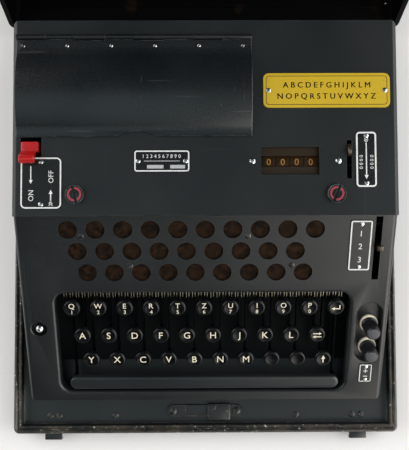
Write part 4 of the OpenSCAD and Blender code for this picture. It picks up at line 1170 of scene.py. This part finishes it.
class CIPHER_OT_counter(bpy.types.Operator):
    """Adds the four counter drums with their figures, and the tinted window over them"""
    bl_idname = "cipher.counter"
    bl_label = "Counter"

    def execute(self, context):
        for i, name in enumerate(("units", "tens", "hundreds", "thousands")):
            bm = bmesh.new()
            half = (DRUM_PITCH - 0.6) / 2
            lathe(bm, [(4, -half - 0.25), (4, -half), (DRUM_R - 0.3, -half), (DRUM_R, 0.3 - half),
                       (DRUM_R, half - 0.3), (DRUM_R - 0.3, half), (4, half), (4, half + 0.25)],
                  0, 72, across(0))
            for digit in range(10):
                wrapped(bm, str(digit), 5.4, DRUM_R, digit * 36, 1)
            piece("drum_" + name, bm, finishes("drum_resin", "amber_figures"),
                  at(DECK, COUNTER_X + (1.5 - i) * DRUM_PITCH, COUNTER_Y, -5 - DRUM_R),
                  "counter_" + name, ("counter_" + name,))
        bm = bmesh.new()
        block(bm, (-25.5, -13.6, -3.2), (25.5, 13.6, -2), 0, 0.15)
        for side in (-1, 1):           # printed on its back, above and below the line of figures
            loft(bm, [rounded(-25, 25, *sorted((side * 4.4, side * 13.2)), 0.2, z) for z in (-3.3, -3.15)], 1)
        piece("counter_window", bm, finishes("window_glass", "pane_print"),
              at(DECK, COUNTER_X, COUNTER_Y), "root", ("indicator_windows",))
        return {"FINISHED"}


class CIPHER_OT_rotors(bpy.types.Operator):
    """Adds the five pairs of drive wheel and coded rotor, with the letters round each rotor"""
    bl_idname = "cipher.rotors"
    bl_label = "Rotors"

    def execute(self, context):
        for i in range(PAIRS):
            node = "wheel_pair_" + str(i + 1)
            left = STACK_X + i * PAIR_PITCH
            place = at(DECK, left, AXLE_Y, -AXLE_DROP)
            drive = inside(place, (0, -30, -30), (DRIVE_W + 0.4, 30, 30))
            softened("rotor_" + str(i + 1), node, ["rotor_resin", "wheel_alloy"], 0.3,
                     painted=(drive,))
            bm = bmesh.new()
            for k in range(26):
                wrapped(bm, chr(ord("A") + k), 3.4, LETTER_RING_R, k * 360 / 26, 0, LETTER_RING_X)
            piece("rotor_letters_" + str(i + 1), bm, finishes("white_print"), place, node,
                  (node,))
        return {"FINISHED"}


# ---------- controls ----------

class CIPHER_OT_mode_lever(bpy.types.Operator):
    """Adds the red rocking lever at the left of the deck"""
    bl_idname = "cipher.mode_lever"
    bl_label = "Mode lever"

    def execute(self, context):
        bm = bmesh.new()
        half = 6.7
        slab(bm, [(4, 18), (4, 24.4), (3.5, 24.9), (-3.5, 24.9), (-4, 24.4), (-4, 18)], -half, half, 0, 0.5)
        slab(bm, [(-3.4, 24.7), (-4.7, 27), (-6.6, 31), *arc(3.5, 60, 290, 16, (-10.5, 30.5)), (-7, 27.6)],
             -half, half - 1.4, 0, 0.5)
        slab(bm, [(-2, 0), (2, 0), (2, MODE_DROP - 3), (-2, MODE_DROP - 3)], 2 - half, half - 2, 0)
        lathe(bm, [(4.6, -half), (5, 0.4 - half), (5, half - 0.4), (4.6, half)], 0, 32, across(0))
        piece("mode_rocker", bm, finishes("red_enamel"), at(DECK, MODE_X, MODE_Y, -MODE_DROP), "mode_lever",
              ("mode_lever",))
        return {"FINISHED"}


class CIPHER_OT_reset_lever(bpy.types.Operator):
    """Adds the counter's reset lever with its knurled tip"""
    bl_idname = "cipher.reset_lever"
    bl_label = "Reset lever"

    def execute(self, context):
        bm = bmesh.new()
        half = 1.45
        tip = (0, RESET_DROP + 0.5)
        slab(bm, [*arc(5, 180, 360, 10), (3.2, RESET_DROP - 4), *arc(4.5, -45, 225, 20, tip),
                  (-3.2, RESET_DROP - 4)], -half, half, 0, 0.3)
        tooth = bmesh.new()
        block(tooth, (-0.4, -0.3, -1.2), (0.4, 0.3, 1.2), 0, 0)
        knurl = grown(crown_tree(), tooth, "Shape", [(0, 0, 0)], Count=26, Radius=4.4,
                      Material=finish_of("brown_steel"))
        add_mesh(bm, knurl, across(0, *tip))
        lean = Matrix.Rotation(math.radians(-RESET_LEAN), 4, "X")
        piece("reset_thumb_lever", bm, finishes("brown_steel"),
              at(DECK, RESET_X, RESET_Y, -RESET_DROP) @ lean, "reset_lever", ("reset_lever",))
        return {"FINISHED"}


class CIPHER_OT_power_lever(bpy.types.Operator):
    """Adds the lever of the power selector, with the finger tab bent over at its tip"""
    bl_idname = "cipher.power_lever"
    bl_label = "Power lever"

    def execute(self, context):
        bm = bmesh.new()
        half, tip = 1.3, 5 - SELECT_N
        slab(bm, [*arc(5, 180, 360, 10), (2.2, tip), (-2.2, tip)], -half, half, 0, 0.2)
        block(bm, (-half, -2.2, tip - 1.8), (3 * half, 2.2, tip + 0.6), 0, 0.4)
        piece("power_selector", bm, finishes("lever_steel"), on_panel(SELECT_X, SELECT_S, SELECT_N),
              "power_lever", ("power_lever",))
        return {"FINISHED"}


class CIPHER_OT_lock_screws(bpy.types.Operator):
    """Adds the two quarter-turn screws that lock the housing, each with its red ring"""
    bl_idname = "cipher.lock_screws"
    bl_label = "Lock screws"

    def execute(self, context):
        profile = [(7.3, 0.3), (7.7, 0.7), (7.7, 2.6), (7.1, 3.3), (6.6, 3.1), (6.1, 3.2), (0.02, 3.2)]
        for name, x, turn in (("left", -LOCK_X, 14), ("right", LOCK_X, -23)):
            bm = bmesh.new()
            slotted(bm, profile, 1.9, 2.3, 0, turn, ring_of=(4.1, 5.6, 3.26))
            lathe(bm, [(3.7, -16), (4, -15.6), (4, 0.6)], 0, 32)
            block(bm, (-2, -8, -16), (2, 8, -12.5), 0, 0.4, Matrix.Rotation(math.radians(turn), 4, "Z"))
            piece("lock_" + name, bm, finishes("lock_steel", "ring_red"), at(DECK, x, LOCK_Y),
                  "lock_screw_" + name, ("lock_screw_" + name,))
        return {"FINISHED"}


# ---------- terminals ----------

GROOVES = 18


class CIPHER_OT_terminals(bpy.types.Operator):
    """Adds the two terminals: cream collars, brass studs and nuts, and the fluted knobs"""
    bl_idname = "cipher.terminals"
    bl_label = "Terminals"

    def execute(self, context):
        for name, s in zip(("upper", "lower"), TERMINAL_S):
            bm = bmesh.new()
            collar = ((2.1, 0), (7.5, 0), (7.8, 0.4), (7.8, 2.4), (7.1, 3), (2.1, 3))
            loft(bm, [ring(r, z) for r, z in collar], closed=True)
            lathe(bm, [(1.7, -8), (2, -7.7), (2, 17.6), (1.6, 18)], 1, 24)
            lathe(bm, [(3.3, -5), (3.6, -4.7), (3.6, -2.3), (3.3, -2)], 1, 6)
            piece("terminal_" + name, bm, finishes("collar_cream_lightened", "brass"),
                  on_panel(TERMINAL_X, s, -CUP_DEPTH), "root", ("terminal_posts",))
            self.knob(name, on_panel(TERMINAL_X, s, 3.3 - CUP_DEPTH))
        return {"FINISHED"}

    def knob(self, name, place):
        bm = bmesh.new()
        radius = sizes().knob_diameter / MM / 2
        steps = GROOVES * 8

        def fluted(inset, z):
            points = []
            for i in range(steps):
                turn = math.tau * i / steps
                dip = 0.6 * max(0, math.cos(GROOVES * turn)) ** 3
                points.append(Vector(((radius - inset - dip) * math.cos(turn),
                                      (radius - inset - dip) * math.sin(turn), z)))
            return points
        flange = [ring(radius + more, z, steps)
                  for more, z in ((0.4, 0), (0.75, 0.4), (0.75, 2.5), (0.3, 3), (0.05, 3.1))]
        end = [ring(radius - less, z, steps) for less, z in ((0.9, 17.5), (1.3, 18.1), (1.7, 18.2))]
        loops = [*flange, fluted(0, 3.6), fluted(0, 16.4), fluted(0.3, 17), *end]
        faces = loft(bm, loops)
        for face in faces[9 * steps:10 * steps] + [faces[-1]]:
            face.material_index = 1
        piece("knob_" + name, bm, finishes("knob_resin", "knob_top"), place, "terminal_knob_" + name,
              ("terminal_knob_" + name,))


# ---------- plates and screws ----------

def screws(name, place, finish_name, radius, tall, points, seed):
    """Slotted heads on points, each turned by chance."""
    head = bmesh.new()
    slotted(head, [(radius, 0), (radius, tall * 0.3), (radius * 0.8, tall * 0.75), (radius * 0.4, tall),
                   (0.02, tall)], tall * 0.45, radius * 0.32)
    heads = grown(heads_tree(), head, "Head", points, Size=1.0, Turn=math.tau, Seed=seed,
                  Material=finish_of(finish_name))
    grown_piece(name, heads, finish_name, place, "root", "plates_and_screws")


class CIPHER_OT_plates(bpy.types.Operator):
    """Adds the six plates with their printed borders, arrows and figures"""
    bl_idname = "cipher.plates"
    bl_label = "Plates"

    def plate(self, name, bm, print_name="white_print", body="plate_black", place=DECK):
        piece(name, bm, finishes(body, print_name, "pale_field"), place, "root",
              ("plates_and_screws",))

    def execute(self, context):
        bm = sheet((46.1, 147.4, 85.8, 113.6), 4.5, 2.2, 2.6, 0.45)
        for text, y in (("A B C D E F G H I J K L M", 104.2), ("N O P Q R S T U V W X Y Z", 95.2)):
            for x in (96.6, 96.9):     # set twice, which makes the strokes bold
                letters(bm, text, 4.7, (x, y, PLATE_T), 1, rise=0.08)
        self.plate("plate_alphabet", bm, "dark_print", "plate_yellow")

        bm = sheet((-56.9, -12.6, 34.5, 52), 2.2, 0.4, 2, 1)
        letters(bm, "1 2 3 4 5 6 7 8 9 0", 3, (-34.75, 47.2, PLATE_T), 1, rise=0.08)
        strip(bm, -49, -20.5, 43.1, 43.4, PRINT, 1)
        for x0, x1 in ((-46.5, -33.5), (-28.2, -16.4)):
            strip(bm, x0, x1, 37.3, 40.1, PRINT, 2)
        self.plate("plate_fields", bm)

        bm = sheet((-146.7, -114.1, 5.5, 46.6), 4, 0.3, 3.8, 1.1)
        arrow(bm, (-138.4, 39.5), (-138.4, 25.4), PRINT, 1, 0.8, 3)
        arrow(bm, (-122.6, 8.8), (-122.6, 20.6), PRINT, 1, 0.9, 3.2, 1.4)
        letters(bm, "ON", 4.2, (-138.4, 16, PLATE_T), 1, 90, 0.08)
        letters(bm, "OFF", 4.2, (-122.6, 31, PLATE_T), 1, 90, 0.08)
        self.plate("plate_mode", bm)

        bm = sheet((119.3, 136, 21.8, 66.4), 3, 0.3, 2.8, 1.3)
        arrow(bm, (127.65, 60.4), (127.65, 28.4), PRINT, 1, 0.9, 3.2, 1.5)
        for x in (123.4, 131.9):
            letters(bm, "0 0 0 0", 2.9, (x, 42, PLATE_T), 1, 90, 0.08)
        self.plate("plate_reset", bm)

        bm = sheet((116.3, 134.1, -48.2, -4.1), 1.6, 0.3, 1.5, 1.1)
        for text, s in zip("123", (15.3, 26.5, 38.2)):
            letters(bm, text, 5.2, (125.2, -s, PLATE_T), 1, rise=0.08)
        self.plate("plate_selector", bm, place=PANEL)

        bm = sheet((133, 143.8, -154.9, -137.5), 1.2, 0.2, 1.1, 0.7)
        strip(bm, 136.6, 140.2, -144.4, -143.7, PRINT, 1)
        strip(bm, 138.05, 138.75, -145.85, -142.25, PRINT, 1)
        strip(bm, 136.6, 140.2, -149.6, -148.9, PRINT, 1)
        self.plate("plate_poles", bm, place=PANEL)
        return {"FINISHED"}


class CIPHER_OT_screws(bpy.types.Operator):
    """Adds the screws of the plates, panel, counter and floor, and the ball stud at the left"""
    bl_idname = "cipher.screws"
    bl_label = "Screws"

    def execute(self, context):
        z = PLATE_T
        screws("deck_plate_screws", DECK, "bright_steel", 1.85, 0.7,
               [(50.3, 99.7, z), (143.2, 99.7, z), (-53.6, 43.25, z), (-15.9, 43.25, z), (-130.4, 9.1, z),
                (-130.4, 43, z), (127.65, 25.1, z), (127.65, 63.1, z)], 11)
        screws("panel_plate_screws", PANEL, "bright_steel", 1.75, 0.7,
               [(125.2, -7.3, z), (125.2, -45, z), (138.4, -139.8, z), (138.4, -152.6, z)], 5)
        screws("counter_screws", DECK, "bright_steel", 2.3, 1.2,
               [(COUNTER_X - 30.2, COUNTER_Y, 0), (COUNTER_X + 38.3, COUNTER_Y, 0)], 2)
        screws("panel_screws", PANEL, "lock_steel", 2.4, 0.7,
               [(-100.6, -17.6, 0), (34, -17.6, 0), (-62.1, -43.5, 0), (70.3, -43.5, 0)], 4)
        screws("floor_screws", TABLE, "case_enamel", 2.8, 1.2,
               [(side * x, -166.6, FLOOR_Z) for side in (-1, 1) for x in (141, 133, 82)], 9)
        bm = bmesh.new()
        ball = arc(BALL_R, -54, 81, 15, (0, 6))
        lathe(bm, [(2.2, 0), (2.2, 2.9), *ball, (0.02, 6 + BALL_R)], 0, 40)
        piece("ball_stud", bm, finishes("bright_steel"), on_panel(BALL_X, BALL_S, -CUP_DEPTH), "root",
              ("plates_and_screws",))
        return {"FINISHED"}


# ---------- stage ----------

# Where the photograph was taken from, in metres, and how the camera leans, turns and rolls, in degrees
EYE = (-0.00555, -0.03145, 0.70069)
LEAN, TURN, ROLL = 3.145, 0.4243, -0.2232
SENSOR, LENS = 24, 40              # height of the picture in the camera and focal length, in millimetres

EVEN_LIGHT = (0.68, 0.68, 0.68)    # falls on the machine from all round
PALE_GLOW = (0.5, 0.64, 0.66)      # the patch overhead
WARM_GLOW = (4.6, 4.3, 4.0)        # the patch low at the front right
WARM_WAY = (0.63, -0.56, 0.54)     # towards that patch

# Soft boxes: name, place in metres, width and height, watts
SOFT_BOXES = (("left", (-1.3, 0.25, 0.8), (1.6, 1.2), 15),
              ("right", (1.3, 0.1, 0.9), (1.6, 1.2), 17),
              ("front", (1.0, -0.9, 0.85), (1.1, 0.8), 2))
SOFT_BOX_AIM = (0, 0, 0.05)


class CIPHER_OT_stage(bpy.types.Operator):
    """Adds the pale floor, the studio light and the camera, which are no part of the machine"""
    bl_idname = "cipher.stage"
    bl_label = "Stage"

    def execute(self, context):
        scene = context.scene
        scene.view_settings.view_transform = "Standard"
        self.floor()
        self.surroundings(scene)
        for box in SOFT_BOXES:
            self.soft_box(*box)
        self.camera(scene)
        return {"FINISHED"}

    def floor(self):
        mesh = bpy.data.meshes.new("studio_floor")
        mesh.from_pydata([(-4, -4, 0), (4, -4, 0), (4, 4, 0), (-4, 4, 0)], [], [(0, 1, 2, 3)])
        mesh.materials.append(finish("studio_floor", tones().floor, 0.9)[0])
        made = new_object("studio_floor", mesh)

    def surroundings(self, scene):
        """Even light from all round, while mirrors and eyes see a pale wall under a dark ceiling.

        They also see a pale patch overhead, fading towards the back, and a warm one low at the front
        right.
        """
        world = bpy.data.worlds.new("studio")
        world.use_nodes = True
        tree = world.node_tree
        scene.world = world
        seen = add(tree, "ShaderNodeLightPath").outputs
        direct = add(tree, "ShaderNodeMath", {"operation": "MAXIMUM"},
                     {0: seen["Is Camera Ray"], 1: seen["Is Glossy Ray"]})
        direct = add(tree, "ShaderNodeMath", {"operation": "MAXIMUM"},
                     {0: direct.outputs[0], 1: seen["Is Transmission Ray"]})
        looking = add(tree, "ShaderNodeTexCoord").outputs["Generated"]
        way = add(tree, "ShaderNodeSeparateXYZ", inputs={"Vector": looking})
        rise = between(tree, way.outputs["Z"], 0.0, 0.45)
        wall = blend(tree, between(tree, way.outputs["Y"], -0.7, -0.2), linear("#1c1c1c"), linear("#bcbcba"))
        room = blend(tree, rise, wall, linear("#0c0c0d"))
        overhead = times(tree, between(tree, way.outputs["Z"], 0.72, 0.92),
                         between(tree, way.outputs["Y"], 0.26, 0.04))
        overhead = times(tree, overhead, between(tree, way.outputs["X"], 0.4, -0.1, 0.35, 1.0))
        room = blend(tree, overhead, room, PALE_GLOW)
        near = add(tree, "ShaderNodeVectorMath", {"operation": "DOT_PRODUCT"},
                   {0: looking, 1: WARM_WAY})
        room = blend(tree, between(tree, near.outputs["Value"], 0.83, 0.98), room, WARM_GLOW)
        shade = blend(tree, direct.outputs[0], EVEN_LIGHT, room)
        background = tree.nodes["Background"]
        tree.links.new(shade, background.inputs["Color"])
        background.inputs["Strength"].default_value = 1

    def soft_box(self, name, where, size, power):
        lamp = bpy.data.lights.new("soft_box_" + name, "AREA")
        lamp.shape = "RECTANGLE"
        lamp.size, lamp.size_y = size
        lamp.energy = power
        made = new_object("soft_box_" + name, lamp)
        made.location = where
        made.rotation_euler = (Vector(SOFT_BOX_AIM) - Vector(where)).to_track_quat("-Z", "Y").to_euler()

    def camera(self, scene):
        lens = bpy.data.cameras.new("camera")
        lens.sensor_fit = "VERTICAL"
        lens.sensor_height = SENSOR
        lens.lens = LENS
        lens.clip_start = 0.01
        lean, turn, roll = (math.radians(a) for a in (LEAN, TURN, ROLL))
        right, up = Vector((1, 0, 0)), Vector((0, math.cos(lean), math.sin(lean)))
        ahead = Vector((0, math.sin(lean), -math.cos(lean)))
        ahead, right = (ahead * math.cos(turn) + right * math.sin(turn),
                        right * math.cos(turn) - ahead * math.sin(turn))
        right, up = (right * math.cos(roll) + up * math.sin(roll),
                     up * math.cos(roll) - right * math.sin(roll))
        made = new_object("camera", lens)
        made.matrix_world = Matrix.Translation(EYE) @ Matrix((right, up, -ahead)).transposed().to_4x4()
        scene.camera = made


# ---------- add-on ----------

OPERATORS = (CIPHER_OT_case, CIPHER_OT_housing, CIPHER_OT_inner_frame, CIPHER_OT_lamps, CIPHER_OT_keys,
             CIPHER_OT_space_bar, CIPHER_OT_counter, CIPHER_OT_rotors, CIPHER_OT_mode_lever,
             CIPHER_OT_reset_lever, CIPHER_OT_power_lever, CIPHER_OT_lock_screws, CIPHER_OT_terminals,
             CIPHER_OT_plates, CIPHER_OT_screws, CIPHER_OT_stage)


class CIPHER_PT_panel(bpy.types.Panel):
    """The machine's pieces, sizes and colours in the 3D view's sidebar"""
    bl_idname = "CIPHER_PT_panel"
    bl_label = "Rotor cipher machine"
    bl_space_type = "VIEW_3D"
    bl_region_type = "UI"
    bl_category = "Cipher"

    def draw(self, context):
        for operator in OPERATORS:
            self.layout.operator(operator.bl_idname)
        for group in (context.scene.cipher_sizes, context.scene.cipher_colours):
            column = self.layout.column()
            for name in group.__annotations__:
                column.prop(group, name)


CLASSES = (CipherSizes, CipherColours, *OPERATORS, CIPHER_PT_panel)


def register():
    for cls in CLASSES:
        bpy.utils.register_class(cls)
    bpy.types.Scene.cipher_sizes = PointerProperty(type=CipherSizes)
    bpy.types.Scene.cipher_colours = PointerProperty(type=CipherColours)


def unregister():
    del bpy.types.Scene.cipher_colours
    del bpy.types.Scene.cipher_sizes
    for cls in reversed(CLASSES):
        bpy.utils.unregister_class(cls)


def main():
    register()
    for operator in OPERATORS:
        family, name = operator.bl_idname.split(".")
        getattr(getattr(bpy.ops, family), name)()


if __name__ == "__main__":
    main()
